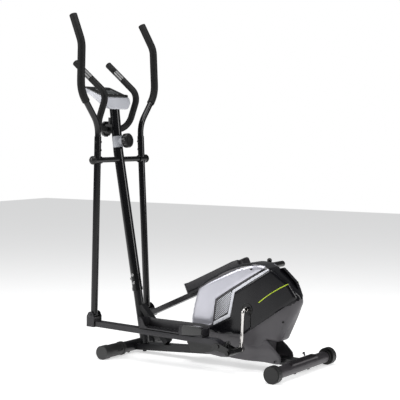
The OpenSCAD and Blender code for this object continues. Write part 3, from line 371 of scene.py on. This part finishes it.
def lathe(name, profile, origin, axis, material, sides=64, matrix=None):
    """Turns a profile of (radius, height) round an axis. A radius of 0 closes the end."""
    bm = bmesh.new()
    w = Vector(axis).normalized()
    e = w.orthogonal().normalized()
    f = w.cross(e)
    c = Vector(origin)
    loops = []
    for r, h in profile:
        if r <= 1e-6:
            loops.append([bm.verts.new(c + w * h)])
            continue
        ring = []
        for k in range(sides):
            a = 2 * math.pi * k / sides
            ring.append(bm.verts.new(c + w * h + (e * math.cos(a) + f * math.sin(a)) * r))
        loops.append(ring)
    for a, b in zip(loops, loops[1:]):
        for k in range(sides):
            n = (k + 1) % sides
            if len(a) == 1:
                bm.faces.new((a[0], b[n], b[k]))
            elif len(b) == 1:
                bm.faces.new((a[k], a[n], b[0]))
            else:
                bm.faces.new((a[k], a[n], b[n], b[k]))
    for end in (loops[0], loops[-1]):
        if len(end) > 1:
            bm.faces.new(end)
    return finish_mesh(bm, name, material, matrix=matrix)


def prism_bm(outline, y0, y1):
    """An outline in x and z as a solid from y0 to y1."""
    bm = bmesh.new()
    front = [bm.verts.new((x, y0, z)) for x, z in outline]
    back = [bm.verts.new((x, y1, z)) for x, z in outline]
    bm.faces.new(front)
    bm.faces.new(list(reversed(back)))
    n = len(outline)
    for i in range(n):
        j = (i + 1) % n
        bm.faces.new((front[i], back[i], back[j], front[j]))
    bmesh.ops.recalc_face_normals(bm, faces=bm.faces)
    return bm


def bevel(bm, width, angle=28.0, segments=3):
    edges = [e for e in bm.edges if len(e.link_faces) == 2 and e.calc_face_angle(0) > math.radians(angle)]
    bmesh.ops.bevel(bm, geom=edges, offset=width, segments=segments, profile=0.55, affect="EDGES",
                    clamp_overlap=True)
    return bm


def join(name, objects):
    """Joins finished pieces into one mesh object."""
    bm = bmesh.new()
    materials = []
    for o in objects:
        offset = {}
        for i, m in enumerate(o.data.materials):
            if m not in materials:
                materials.append(m)
            offset[i] = materials.index(m)
        start = len(bm.faces)
        bm.from_mesh(o.data)
        bm.faces.ensure_lookup_table()
        for f in bm.faces[start:]:
            f.material_index = offset.get(f.material_index, 0)
    mesh = bpy.data.meshes.new(name)
    bm.to_mesh(mesh)
    bm.free()
    for m in materials:
        mesh.materials.append(m)
    obj = bpy.data.objects.new(name, mesh)
    bpy.context.collection.objects.link(obj)
    for o in objects:
        old = o.data
        bpy.data.objects.remove(o)
        bpy.data.meshes.remove(old)
    return obj


# ---- swinging handles and their foam grips ----

HANDLE = [(0, LEVER_Y, 30), (0, LEVER_Y, 168), (0, 303, 322), (0, 303, 545), (-60, 296, 671)]
HANDLE_BENDS = [0, 130, 130, 110, 0]
FOAM_BELOW_CORNER = 62
FOAM_PAST_TIP = 4


def sided(points, side):
    return [(x, y * side, z) for x, y, z in points]


for side in (-1, 1):
    where = lever_matrix(side)
    pts = sided(HANDLE, side)
    handle = tube(SIDE_NAME[side] + "_handle_tube", round_path(pts, HANDLE_BENDS), soft_ends(14.4),
                  "gloss_black_paint", matrix=where)
    add(handle, SIDE_NAME[side] + "_lever", "gloss_black_paint", SIDE_NAME[side] + "_handle")
    low, corner, neck, top = [Vector(p) for p in pts[1:]]
    foam_from = corner - (corner - low).normalized() * FOAM_BELOW_CORNER
    foam_to = top + (top - neck).normalized() * FOAM_PAST_TIP
    path = round_path([foam_from, corner, neck, foam_to], [0, 130, 110, 0])
    foam_profile = [(0, 15.6), (0.5, 17.4), (1.8, 18.3), (6, 18.5), (-3.2, 18.5), (-1.2, 18.0), (-0.2, 16.4),
                    (-1e-6, 13.0)]
    grip = tube(SIDE_NAME[side] + "_foam_grip", path, foam_profile, "foam", matrix=where)
    add(grip, SIDE_NAME[side] + "_lever", "foam", SIDE_NAME[side] + "_grip")

# ---- fixed handlebar ----

FOAM_FROM_MIDDLE = 46
PULSE_FROM_TIP, PULSE_TO_TIP = 122, 62
BAR_HALF = [(-493.9, 0, 1075), (-480, 123, 1075), (-416, 122, 1240), (-601.8, 125, 1393)]
bar_pts = [(x, -y, z) for x, y, z in reversed(BAR_HALF[1:])] + BAR_HALF
bar = tube("handlebar_tube", round_path(bar_pts, [0, 60, 66, 400, 66, 60, 0], 5.0), soft_ends(12.9),
           "gloss_black_paint")
add(bar, "root", "gloss_black_paint", "fixed_handlebar")
sleeves = []
for side in (-1, 1):
    mid, a, b, c = [Vector(q) for q in sided(BAR_HALF, side)]
    start = mid + (a - mid).normalized() * FOAM_FROM_MIDDLE
    up = (c - b).normalized()
    pulse_from, pulse_to = c - up * PULSE_FROM_TIP, c - up * PULSE_TO_TIP
    ends = [(0, 13.6), (0.4, 15.2), (1.8, 16), (-1.8, 16), (-0.4, 15.2), (-1e-6, 13.6)]
    sleeves.append(tube("sleeve", round_path([start, a, b, pulse_from], [0, 66, 60, 0], 5.0), ends, "foam"))
    sleeves.append(tube("sleeve", [pulse_to, c + up * FOAM_PAST_TIP],
                        [(0, 13.6), (0.4, 15.2), (1.8, 16), (-3, 16), (-1, 15.3), (-0.1, 13.6), (-1e-6, 10)],
                        "foam"))
grips = join("handlebar_foam", sleeves)
add(grips, "root", "foam", "fixed_grips")

# ---- housing ----

OUTLINE = [(24, 140), (0, 108), (34, 50), (180, 36), (233, 40), (342, 40), (420, 46), (426, 138), (489, 134),
           (560, 270), (580, 312), (576, 342), (516, 402), (440, 456), (400, 476), (352, 481), (283, 468),
           (210, 440), (120, 394), (68, 356), (56, 308), (42, 262), (28, 204)]
CORNER = [14, 12, 20, 60, 60, 60, 14, 10, 26, 60, 30, 34, 160, 60, 60, 120, 200, 300, 160, 30, 120, 120, 80]
PLAN_X = [-10, 40, 180, 360, 470, 560, 586]
PLAN_Y = [56, 65.8, 70, 70, 58.1, 35, 14]
RIM = 22.0
MIDDLE = (300.0, 270.0)


def round_outline(points, radii, step=6.0):
    """A closed outline with rounded corners and no edge much longer than step."""
    n = len(points)
    rough = []
    for i in range(n):
        a, b, c = (Vector(points[j % n]) for j in (i - 1, i, i + 1))
        u, v = (b - a).normalized(), (c - b).normalized()
        turn = u.angle(v)
        if turn < 0.02:
            rough.append(b)
            continue
        r = radii[i] if isinstance(radii, (list, tuple)) else radii
        cut = min(r * math.tan(turn / 2), 0.47 * (b - a).length, 0.47 * (c - b).length)
        r = cut / math.tan(turn / 2)
        way = 1 if u.x * v.y - u.y * v.x > 0 else -1
        start = b - u * cut
        centre = start + Vector((-u.y, u.x)) * r * way
        steps = max(3, int(math.degrees(turn) / 7))
        d = start - centre
        for k in range(steps + 1):
            t = way * turn * k / steps
            cos, sin = math.cos(t), math.sin(t)
            rough.append(centre + Vector((d.x * cos - d.y * sin, d.x * sin + d.y * cos)))
    out = []
    for i, p in enumerate(rough):
        q = rough[(i + 1) % len(rough)]
        parts = max(1, int((q - p).length / step + 0.5))
        if (q - p).length < 0.3:
            continue
        for k in range(parts):
            out.append(tuple(p.lerp(q, k / parts)))
    return out


def even_ring(points, count):
    """A closed outline as count points at even distances."""
    pts = [Vector(p) for p in points]
    total = [0.0]
    for a, b in zip(pts, pts[1:] + pts[:1]):
        total.append(total[-1] + (b - a).length)
    out = []
    for k in range(count):
        t = total[-1] * k / count
        i = max(j for j in range(len(pts)) if total[j] <= t)
        f = (t - total[i]) / max(total[i + 1] - total[i], 1e-6)
        out.append(tuple(pts[i].lerp(pts[(i + 1) % len(pts)], f)))
    return out


def edge_distance(points, outline):
    """How far each point lies from a closed outline."""
    p = np.asarray(points, float)
    best = np.full(len(p), 1e9)
    o = np.asarray(outline, float)
    for a, b in zip(o, np.roll(o, -1, axis=0)):
        ab = b - a
        t = np.clip(((p - a) @ ab) / max(ab @ ab, 1e-9), 0, 1)
        best = np.minimum(best, np.hypot(*(p - a - t[:, None] * ab).T))
    return best


def inside(points, outline):
    p = np.asarray(points, float)
    o = np.asarray(outline, float)
    hit = np.zeros(len(p), bool)
    for (x1, z1), (x2, z2) in zip(o, np.roll(o, -1, axis=0)):
        crosses = (z1 > p[:, 1]) != (z2 > p[:, 1])
        with np.errstate(divide="ignore", invalid="ignore"):
            x = (x2 - x1) * (p[:, 1] - z1) / (z2 - z1) + x1
        hit ^= crosses & (p[:, 0] < x)
    return hit


BODY_EDGE = round_outline(OUTLINE, CORNER)


def plan_half(x):
    return sum(np.interp(x + s, PLAN_X, PLAN_Y) for s in (-24, -12, 0, 12, 24)) / 5


def smoothstep(v, a, b):
    t = np.clip((v - a) / (b - a), 0, 1)
    return t * t * (3 - 2 * t)


def body_side(points, rim=True):
    """The housing's half width at points of its side view."""
    p = np.asarray(points, float)
    x, z = p[:, 0], p[:, 1]
    half = plan_half(x) - 5.0 * ((z - 290) / 190) ** 2
    if rim:
        d = edge_distance(p, BODY_EDGE)
        r = np.minimum(RIM, half * 0.8)
        e = np.clip(r - d, 0, None)
        half = half - (r - np.sqrt(np.clip(r * r - e * e, 0, None)))
    return half


def body_shell():
    edge = np.array(BODY_EDGE)
    middle = np.array(MIDDLE)
    reach = np.hypot(*(edge - middle).T)
    insets = [RIM * (1 - math.cos(math.radians(a))) for a in (0, 12, 24, 36, 48, 60, 72, 84)]
    rings = [edge + (middle - edge) / reach[:, None] * s for s in insets]
    start = rings[-1]
    for f in np.linspace(0, 1, 22)[1:-1]:
        rings.append(start + (middle - start) * f)
    n = len(edge)
    bm = bmesh.new()
    outer = {}
    for side in (-1, 1):
        layers = []
        for ring in rings:
            y = body_side(ring) * side
            layers.append([bm.verts.new((x, v, z)) for (x, z), v in zip(ring, y)])
        centre = bm.verts.new((middle[0], float(body_side([middle])[0]) * side, middle[1]))
        outer[side] = layers[0]
        for a, b in zip(layers, layers[1:]):
            for k in range(n):
                j = (k + 1) % n
                bm.faces.new((a[k], a[j], b[j], b[k]))
        for k in range(n):
            bm.faces.new((layers[-1][k], layers[-1][(k + 1) % n], centre))
    seam = [bm.verts.new((x, 0, z)) for x, z in edge]
    for side in (-1, 1):
        ring = outer[side]
        for k in range(n):
            j = (k + 1) % n
            bm.faces.new((ring[k], ring[j], seam[j], seam[k]))
    bm.faces.ensure_lookup_table()
    centres = np.array([(f.calc_center_median().x, f.calc_center_median().z) for f in bm.faces])
    top = [(30, 338), (66, 338), (84, 354), (126, 382), (214, 428), (285, 456), (330, 462), (330, 405),
           (430, 458), (460, 500), (200, 530), (20, 400)]
    rear = [(430, 458), (441, 446), (480, 300), (540, 303), (577, 330), (620, 335), (600, 420), (470, 500)]
    is_top, is_rear = inside(centres, top), inside(centres, rear)
    for f, t, r in zip(bm.faces, is_top, is_rear):
        f.material_index = 2 if r else 1 if t else 0
    return finish_mesh(bm, "housing_body", ["housing_grey", "housing_band", "housing_black"], sharp=50)


def panel(name, outline, proud, material, side,
          thick=4.0, grid=7.0, lip=1.6, radius=4.0, extra=None, rim=True):
    """A cover on the housing's side: an outline cut into small faces and laid on the curved side."""
    edge = round_outline(outline, radius, 8.0)
    bm = bmesh.new()
    face = bm.faces.new([bm.verts.new((x, 0, z)) for x, z in edge])
    for width in (0.35 * lip, 0.65 * lip):
        bmesh.ops.inset_region(bm, faces=[face], thickness=width, use_even_offset=True)
    xs = [x for x, _ in edge]
    zs = [z for _, z in edge]
    for axis, low, high in ((0, min(xs), max(xs)), (2, min(zs), max(zs))):
        at = low + grid
        while at < high:
            normal = (1, 0, 0) if axis == 0 else (0, 0, 1)
            point = (at, 0, 0) if axis == 0 else (0, 0, at)
            everything = bm.verts[:] + bm.edges[:] + bm.faces[:]
            bmesh.ops.bisect_plane(bm, geom=everything, plane_co=point, plane_no=normal)
            at += grid
    flat = np.array([(v.co.x, v.co.z) for v in bm.verts])
    base = body_side(flat, rim)
    e = np.clip(lip - edge_distance(flat, edge), 0, lip)
    height = base + proud - (lip - np.sqrt(lip * lip - e * e))
    if extra is not None:
        height = height + extra(flat)
    bm.verts.index_update()
    faces = [[v.index for v in f.verts] for f in bm.faces]
    rims = [[v.index for v in ed.verts] for ed in bm.edges if len(ed.link_faces) == 1]
    bm.free()
    count = len(flat)
    verts = [(x, h * side, z) for (x, z), h in zip(flat, height)]
    verts += [(x, (h - thick) * side, z) for (x, z), h in zip(flat, height)]
    faces += [[i + count for i in reversed(f)] for f in faces]
    faces += [[a, b, b + count, a + count] for a, b in rims]
    solid = bmesh.new()
    made = [solid.verts.new(v) for v in verts]
    for f in faces:
        solid.faces.new([made[i] for i in f])
    return finish_mesh(solid, name, material, sharp=40)


SILVER = [(79, 344), (58, 304), (45, 260), (32, 204), (29, 158), (152, 187), (170, 305), (246, 356),
          (428, 466), (396, 473), (342, 467), (280, 445), (205, 411), (139, 379)]
VENT = [(160, 190), (177, 301), (252, 350), (432, 460), (440, 452), (272, 350), (248, 243)]
VENT_FRAME = [(158, 184), (250, 232), (275, 345), (442, 449), (434, 458), (263, 352), (239, 243), (161, 201)]
BLACK = [(161, 186), (108, 158), (190, 148), (326, 160), (522, 298), (569, 336), (534, 399), (458, 456),
         (443, 453), (275, 345), (251, 232)]


def hub_recess(flat):
    """The upright slot below the hub: a shallow trough in the black panel."""
    dx = np.abs(flat[:, 0] - (CRANK[0] - 1.5))
    z = flat[:, 1]
    wide = smoothstep(-dx, -21, -16)
    tall = smoothstep(z, 158, 163) * smoothstep(-z, -CRANK[1] - 2, -CRANK[1] + 4)
    return -5.0 * wide * tall


HATCH_PITCH = 7.4


def hatch(side):
    """Slanted bars of the vent, cut to its opening and laid on the housing's side."""
    zone = [(165, 205), (180, 299), (250, 345), (262, 347), (237, 252)]
    bars = []
    slant = Vector((1, -0.86)).normalized()
    across = Vector((-slant.y, slant.x))
    for k in range(-30, 60):
        c = Vector((200, 270)) + across * (HATCH_PITCH * k)
        hits = []
        for a, b in zip(zone, zone[1:] + zone[:1]):
            a, b = Vector(a), Vector(b)
            d = b - a
            det = slant.x * d.y - slant.y * d.x
            if abs(det) < 1e-6:
                continue
            w = a - c
            t = (w.x * d.y - w.y * d.x) / det
            s = (w.x * slant.y - w.y * slant.x) / det
            if 0 <= s < 1:
                hits.append(t)
        if len(hits) < 2:
            continue
        hits.sort()
        t0, t1 = hits[0] + 0.5, hits[-1] - 0.5
        if t1 - t0 < 5:
            continue
        steps = max(2, int((t1 - t0) / 9))
        bm = bmesh.new()
        rows = []
        for i in range(steps + 1):
            p = c + slant * (t0 + (t1 - t0) * i / steps)
            row = []
            wide = 1.1 + 0.8 * float(smoothstep(p.x, 165, 250))
            for off, rise in ((-1.3, 2.2), (-1, 4.4), (0, 4.9), (1, 4.4), (1.3, 2.2)):
                q = p + across * (off * wide)
                row.append((q.x, q.y, rise))
            rows.append(row)
        flat = [(x, z) for row in rows for x, z, _ in row]
        heights = body_side(flat)
        made = []
        i = 0
        for row in rows:
            line = []
            for x, z, rise in row:
                line.append(bm.verts.new((x, (heights[i] + rise) * side, z)))
                i += 1
            made.append(line)
        for a, b in zip(made, made[1:]):
            for j in range(4):
                bm.faces.new((a[j], a[j + 1], b[j + 1], b[j]))
            bm.faces.new((a[4], a[0], b[0], b[4]))
        bm.faces.new(made[0])
        bm.faces.new(made[-1])
        bars.append(finish_mesh(bm, "bar", "vent_silver"))
    return bars


STRIPE_CENTRE = (843, -207.3)
STRIPE_RADIUS = 679.6
STRIPE_HALF = 1.9

FIN = [(228, 150), (330, 152), (411, 155), (440, 133), (469, 107), (499, 78), (505, 60), (499, 45), (487, 38),
       (420, 42), (320, 40), (228, 44)]


def fin_flare(flat):
    x, z = flat[:, 0], flat[:, 1]
    hollow = 9 * smoothstep(z, 96, 150) * smoothstep(x, 300, 400)
    return np.clip(66.5 - plan_half(x), 0, None) - hollow


body = body_shell()
add(body, "root", "housing_grey", "housing_left", "housing_right")
silver, vents, blacks, stripes, fins = [], [], [], [], []
for side in (-1, 1):
    silver.append(panel("silver", SILVER, 5, "housing_silver", side, lip=2.4, radius=9))
    vents.append(panel("vent", VENT, 2.6, "vent_shadow", side, lip=0.8))
    vents.append(panel("vent", VENT_FRAME, 5.4, "vent_silver", side, thick=5.0, lip=1.2, radius=3))
    vents.extend(hatch(side))
    blacks.append(panel("black", BLACK, 8, "housing_black", side, thick=22.0, grid=6.0, lip=5.0, radius=10,
                        extra=hub_recess, rim=False))
    fins.append(panel("fin", FIN, 1.2, "housing_grey", side, thick=6.0, grid=9.0, lip=2.2, radius=22,
                      extra=fin_flare, rim=False))
    line = []
    for k in range(25):
        a = math.radians(130.7 - 13.7 * k / 24)
        line.append((STRIPE_CENTRE[0] + STRIPE_RADIUS * math.cos(a),
                     STRIPE_CENTRE[1] + STRIPE_RADIUS * math.sin(a)))
    band = [tuple(p[i] + STRIPE_HALF * w * (p[i] - STRIPE_CENTRE[i]) / 680 for i in (0, 1))
            for w, run in ((1, line), (-1, line[::-1])) for p in run]
    stripes.append(panel("stripe", band, 8.9, "accent_green", side, thick=3.0, grid=60.0, lip=0.5, radius=0.6,
                         rim=False))
add(join("silver_side_panels", silver), "root", "housing_silver", "silver_panels")
add(join("side_vents", vents), "root", "vent_silver", "vents")
add(join("black_side_panels", blacks), "root", "housing_black", "black_panels")
add(join("accent_lines", stripes), "root", "accent_green", "accent_stripes")
add(join("housing_fins", fins), "root", "housing_grey")

# ---- pedals, in the frame of their bar: x along it, z up, y outward ----

PEDAL = (283.0, 642.0)
PEDAL_IN, PEDAL_OUT, PEDAL_FLOOR = 124.0, 204.0, -28.3


def pedal_wall(path, top, low, thick, lip=2.0):
    """A wall along a plan path of (u, y), with the height of its top and foot at each point."""
    bm = bmesh.new()
    rows = []
    pts = [Vector(p) for p in path]
    for i, p in enumerate(pts):
        a, b = pts[max(i - 1, 0)], pts[min(i + 1, len(pts) - 1)]
        t = (b - a).normalized()
        n = Vector((t.y, -t.x))
        hi, lo = top[i], low[i]
        q = p - n * thick
        rows.append([bm.verts.new(v) for v in (
            (p.x, p.y, lo), (p.x, p.y, hi - lip),
            (p.x - n.x * lip * 0.4, p.y - n.y * lip * 0.4, hi - lip * 0.4),
            (p.x - n.x * lip, p.y - n.y * lip, hi), (q.x + n.x * lip, q.y + n.y * lip, hi),
            (q.x + n.x * lip * 0.4, q.y + n.y * lip * 0.4, hi - lip * 0.4),
            (q.x, q.y, hi - lip), (q.x, q.y, lo))])
    for a, b in zip(rows, rows[1:]):
        for j in range(8):
            k = (j + 1) % 8
            bm.faces.new((a[j], a[k], b[k], b[j]))
    bm.faces.new(rows[0])
    bm.faces.new(rows[-1])
    bmesh.ops.recalc_face_normals(bm, faces=bm.faces)
    return bm


def pedal_pieces(side):
    u0, u1 = PEDAL
    matrix = bar_matrix(side)

    def put(bm, name, material, sharp=35):
        for v in bm.verts:
            v.co.y *= side
        return finish_mesh(bm, name, material, sharp=sharp, matrix=matrix)

    def plan(radii):
        return round_outline([(u0, PEDAL_OUT), (u0, PEDAL_IN), (u1, PEDAL_IN), (u1, PEDAL_OUT)], radii, 7.0)

    pieces = []
    # the floor tray, with a fine tread
    bm = bmesh.new()
    edge = plan([22, 22, 24, 8])
    for z in (PEDAL_FLOOR, PEDAL_FLOOR + 4):
        ring = [bm.verts.new((x, y, z)) for x, y in edge]
        bm.faces.new(ring)
        if z == PEDAL_FLOOR:
            low = ring
    for i in range(len(low)):
        j = (i + 1) % len(low)
        bm.faces.new((low[i], low[j], ring[j], ring[i]))
    bmesh.ops.recalc_face_normals(bm, faces=bm.faces)
    pieces.append(put(bm, "tray", "pedal_black"))
    for k in range(16):
        u = u0 + 24 + 19 * k
        bm = bmesh.new()
        for y in (PEDAL_IN + 14, PEDAL_OUT - 14):
            for du, dz in ((-3.2, 3.9), (-2.2, 6.2), (2.2, 6.2), (3.2, 3.9)):
                bm.verts.new((u + du, y, PEDAL_FLOOR + dz))
        bm.verts.ensure_lookup_table()
        v = bm.verts[:]
        for j in range(4):
            n = (j + 1) % 4
            bm.faces.new((v[j], v[n], v[n + 4], v[j + 4]))
        bm.faces.new(v[:4])
        bm.faces.new(v[4:])
        bmesh.ops.recalc_face_normals(bm, faces=bm.faces)
        pieces.append(put(bm, "tread", "pedal_black"))
    # one wall all the way round, whose height follows the side it is on
    loop = plan([22, 22, 24, 8])
    start = min(range(len(loop)),
                key=lambda i: abs(loop[i][0] - (u1 - 124)) + 9 * abs(loop[i][1] - PEDAL_OUT))
    loop = loop[start:] + loop[:start + 1]
    tops, lows = [], []
    for u, y in loop:
        s = (PEDAL_OUT - y) / (PEDAL_OUT - PEDAL_IN)
        inner = np.interp(u, [u0, u0 + 40, u0 + 240, u1 - 50, u1 - 16, u1], [20, 15, 19, 21, 18, 9])
        rail = np.interp(u, [u0, u0 + 20, u0 + 30, u0 + 40, u0 + 56, u1 - 125], [26, 24, 14, -8, -19, -19])
        heel = np.interp(u, [u1 - 125, u1 - 112, u1 - 60, u1 - 14, u1], [15, 20, 22, 20, 12])
        outer = heel if u > u1 - 124 else rail
        tops.append(float(outer + (inner - outer) * smoothstep(np.array(s), 0.02, 0.55)))
        lows.append(float(np.interp(u, [u0, u1 - 130, u1 - 60, u1], [-38, -36, -30, -22])))
    pieces.append(put(pedal_wall(loop, tops, lows, 4.5), "wall", "pedal_black"))
    # the heel block: a rounded gloss face with a lighter leading edge
    bm = prism_bm([(u1 - 108, -27), (u1 - 108, 16), (u1 - 100, 20), (u1 - 50, 22), (u1 - 10, 22),
                   (u1 - 1, 15), (u1 - 1, -14), (u1 - 60, -24)], PEDAL_OUT - 16, PEDAL_OUT + 3)
    bevel(bm, 4.0, segments=4)
    pieces.append(put(bm, "heel", "pedal_gloss"))
    bm = prism_bm([(u1 - 124, -29), (u1 - 124, 8), (u1 - 117, 16), (u1 - 106, 20), (u1 - 92, 20),
                   (u1 - 92, -26)], PEDAL_OUT - 15, PEDAL_OUT + 2)
    bevel(bm, 4.0, segments=4)
    pieces.append(put(bm, "cheek", "pedal_black"))
    # the ribs below, beside the bar
    rib = [(u0 + 12, -40), (u1 - 150, -40), (u1 - 60, -30), (u1 - 60, -26), (u0 + 12, -26)]
    for y in (PEDAL_IN + 1, PEDAL_OUT - 8):
        bm = prism_bm(rib, y, y + 6)
        bevel(bm, 1.5)
        pieces.append(put(bm, "under", "pedal_black"))
    return pieces


for side, word in ((-1, "left"), (1, "right")):
    add(join(word + "_foot_pedal", pedal_pieces(side)), word + "_pedal_bar", "pedal_black", word + "_pedal")

# ---- console ----

DISPLAY_TILT = 21.4
GLASS_MIDDLE = 69


def console_profile(y):
    """The side view of the console's case at a distance y from its middle."""
    edge = smoothstep(np.array(abs(y)), 62, 99)
    low = 1168 + 26 * float(edge) ** 1.6
    front = -434 - 3 * float(edge)
    return [(front, low), (front - 10, 1223), (-452, 1229), (-576, 1278), (-587, 1266), (-474, low + 9)]


def console_case():
    bm = bmesh.new()
    spots = [-100, -98.8, -95.5, -90, -82, -72, -60, -45, -25, 0, 25, 45, 60, 72, 82, 90, 95.5, 98.8, 100]
    rows = []
    middle = Vector((-510, 1222))
    for y in spots:
        e = max(0.0, abs(y) - 90) / 10
        shrink = 1 - 0.10 * (1 - math.sqrt(max(0.0, 1 - min(e, 1) ** 2)))
        outline = even_ring(round_outline(console_profile(y), [7, 5, 6, 7, 7, 12], 12), 160)
        rows.append([bm.verts.new((middle.x + (x - middle.x) * shrink, y, middle.y + (z - middle.y) * shrink))
                     for x, z in outline])
    for a, b in zip(rows, rows[1:]):
        for k in range(len(a)):
            j = (k + 1) % len(a)
            bm.faces.new((a[k], a[j], b[j], b[k]))
    bm.faces.new(rows[0])
    bm.faces.new(rows[-1])
    return finish_mesh(bm, "console_case", "console_silver", sharp=32)


def display_matrix():
    low = Matrix.Translation((-447, 0, 1230))
    return low @ Matrix.Rotation(math.pi, 4, "Z") @ Matrix.Rotation(math.radians(-DISPLAY_TILT), 4, "Y")


def console_face_piece():
    """The black display frame with its raised lower lip and the recess round the glass."""
    matrix = display_matrix()
    parts = []
    outer = round_outline([(7, -97), (136, -97), (136, 97), (7, 97)], [7, 10, 10, 7], 12)
    glass = round_outline([(30, -62), (108, -62), (108, 62), (30, 62)], 6, 12)
    bm = bmesh.new()

    def ring(outline, z):
        return [bm.verts.new((x, y, z)) for x, y in outline]

    count = 120
    rings = []
    rounded = [(x + (71 - x) * 0.012, y * 0.988) for x, y in outer]
    for outline, z in ((outer, -3.4), (outer, 0.6), (rounded, 1.8)):
        rings.append(ring(even_ring(outline, count), z))
    for along, across, z in ((1.2, 1.17, 2.0), (1.14, 1.1, 3.4)):
        wide = [(GLASS_MIDDLE + (x - GLASS_MIDDLE) * along, y * across) for x, y in glass]
        rings.append(ring(even_ring(wide, count), z))
    rings.append(ring(even_ring(glass, count), 3.4))
    rings.append(ring(even_ring(glass, count), 1.9))
    for a, b in zip(rings, rings[1:]):
        for k in range(count):
            j = (k + 1) % count
            bm.faces.new((a[k], a[j], b[j], b[k]))
    bm.faces.new(rings[0])
    bm.faces.new(rings[-1])
    parts.append(finish_mesh(bm, "bezel", "console_black", sharp=30, matrix=matrix))
    bm = prism_bm([(0.5, 0.6), (15, 1.0), (14, 6), (11, 9.6), (6, 9.6), (2, 7)], -84, 84)
    bevel(bm, 2.0, segments=4)
    parts.append(finish_mesh(bm, "lip", "console_black", sharp=40, matrix=matrix))
    return join("console_bezel", parts)


def console_screen_piece():
    matrix = display_matrix()
    bm = bmesh.new()
    glass = round_outline([(34, -58), (104, -58), (104, 58), (34, 58)], 4, 12)
    low = [bm.verts.new((x, y, 1.0)) for x, y in glass]
    mid = [bm.verts.new((x, y, 2.6)) for x, y in glass]
    top = [bm.verts.new((GLASS_MIDDLE + (x - GLASS_MIDDLE) * 0.98, y * 0.99, 3.0)) for x, y in glass]
    n = len(low)
    for a, b in ((low, mid), (mid, top)):
        for k in range(n):
            j = (k + 1) % n
            bm.faces.new((a[k], a[j], b[j], b[k]))
    bm.faces.new(low)
    bm.faces.new(top)
    return finish_mesh(bm, "console_glass", "screen", sharp=30, matrix=matrix)


add(console_case(), "root", "console_silver", "console_shell")
add(console_face_piece(), "root", "console_black", "console_face")
add(console_screen_piece(), "root", "screen", "console_screen")

# ---- cranks ----

CRANK_PHASE = 3.0
CRANK_THROW = 176

for side, word in ((-1, "left"), (1, "right")):
    turn = Matrix.Translation((CRANK[0], 0, CRANK[1])) @ Matrix.Rotation(
        math.radians(CRANK_PHASE + (180 if side < 0 else 0)), 4, "Y")
    bend = sided([(0, 84, 0), (0, 108, 0), (0, 108, CRANK_THROW - 9)], side)
    arm = tube("arm", round_path(bend, [0, 16, 0], 3.0),
               [(0, 8.9), (24, 8.9), (44, 7.4), (70, 6.6), (-62, 6.4), (-54, 8.0), (-14, 8.4), (-1e-6, 8.0)],
               "crank_chrome", matrix=turn)
    eye = lathe("eye", [(0, 97), (11.8, 97), (13, 98.2), (13, 116.8), (11.8, 118), (9.9, 118), (9.9, 119.8),
                        (0, 119.8)], (0, 0, CRANK_THROW), (0, side, 0), "crank_chrome", matrix=turn)
    add(join(word + "_crank_arm", [arm, eye]), "crank", "crank_chrome", word + "_crank")

# ---- camera, lights and floor ----

camera_data = bpy.data.cameras.new("camera")
camera = bpy.data.objects.new("camera", camera_data)
bpy.context.collection.objects.link(camera)
camera_data.sensor_width = 36.0
camera_data.lens = 101.97
camera_data.clip_end = 100.0
camera.location = (2.9803, -4.3311, 1.0734)
azimuth, pitch = math.radians(34.20), math.radians(3.569)
look = Vector((-math.sin(azimuth) * math.cos(pitch), math.cos(azimuth) * math.cos(pitch), -math.sin(pitch)))
camera.rotation_euler = look.to_track_quat("-Z", "Y").to_euler()
bpy.context.scene.camera = camera

bm = bmesh.new()
bmesh.ops.create_grid(bm, x_segments=24, y_segments=24, size=9.0)
floor_mesh = bpy.data.meshes.new("floor")
bm.to_mesh(floor_mesh)
bm.free()
floor_mesh.materials.append(MATS["floor"])
floor = bpy.data.objects.new("floor", floor_mesh)
bpy.context.collection.objects.link(floor)

# the backdrop is white to the camera alone, so that black paint doesn't mirror a white room
world = bpy.data.worlds.new("studio")
bpy.context.scene.world = world
world.use_nodes = True
tree = world.node_tree
seen = tree.nodes["Background"]
seen.inputs["Color"].default_value = (1, 1, 1, 1)
seen.inputs["Strength"].default_value = 1.0
room = tree.nodes.new("ShaderNodeBackground")
room.inputs["Color"].default_value = (0.95, 0.97, 1.0, 1)
room.inputs["Strength"].default_value = 0.12
paths = tree.nodes.new("ShaderNodeLightPath")
blend = tree.nodes.new("ShaderNodeMixShader")
tree.links.new(paths.outputs["Is Camera Ray"], blend.inputs[0])
tree.links.new(room.outputs[0], blend.inputs[1])
tree.links.new(seen.outputs[0], blend.inputs[2])
tree.links.new(blend.outputs[0], tree.nodes["World Output"].inputs["Surface"])
bpy.context.scene.view_settings.view_transform = "Standard"


def softbox(name, at, towards, size, power):
    data = bpy.data.lights.new(name, "AREA")
    data.shape = "RECTANGLE"
    data.size, data.size_y = size
    data.energy = power
    obj = bpy.data.objects.new(name, data)
    obj.location = at
    obj.rotation_euler = (Vector(towards) - Vector(at)).to_track_quat("-Z", "Y").to_euler()
    bpy.context.collection.objects.link(obj)


softbox("key_left", (-2.6, -3.2, 2.6), (0, 0, 0.6), (1.6, 2.6), 90)
softbox("rim_right", (3.4, 1.2, 2.0), (0, 0, 0.7), (1.2, 2.8), 60)
softbox("top", (0.2, -0.3, 3.6), (0, 0, 0.4), (2.6, 2.6), 70)
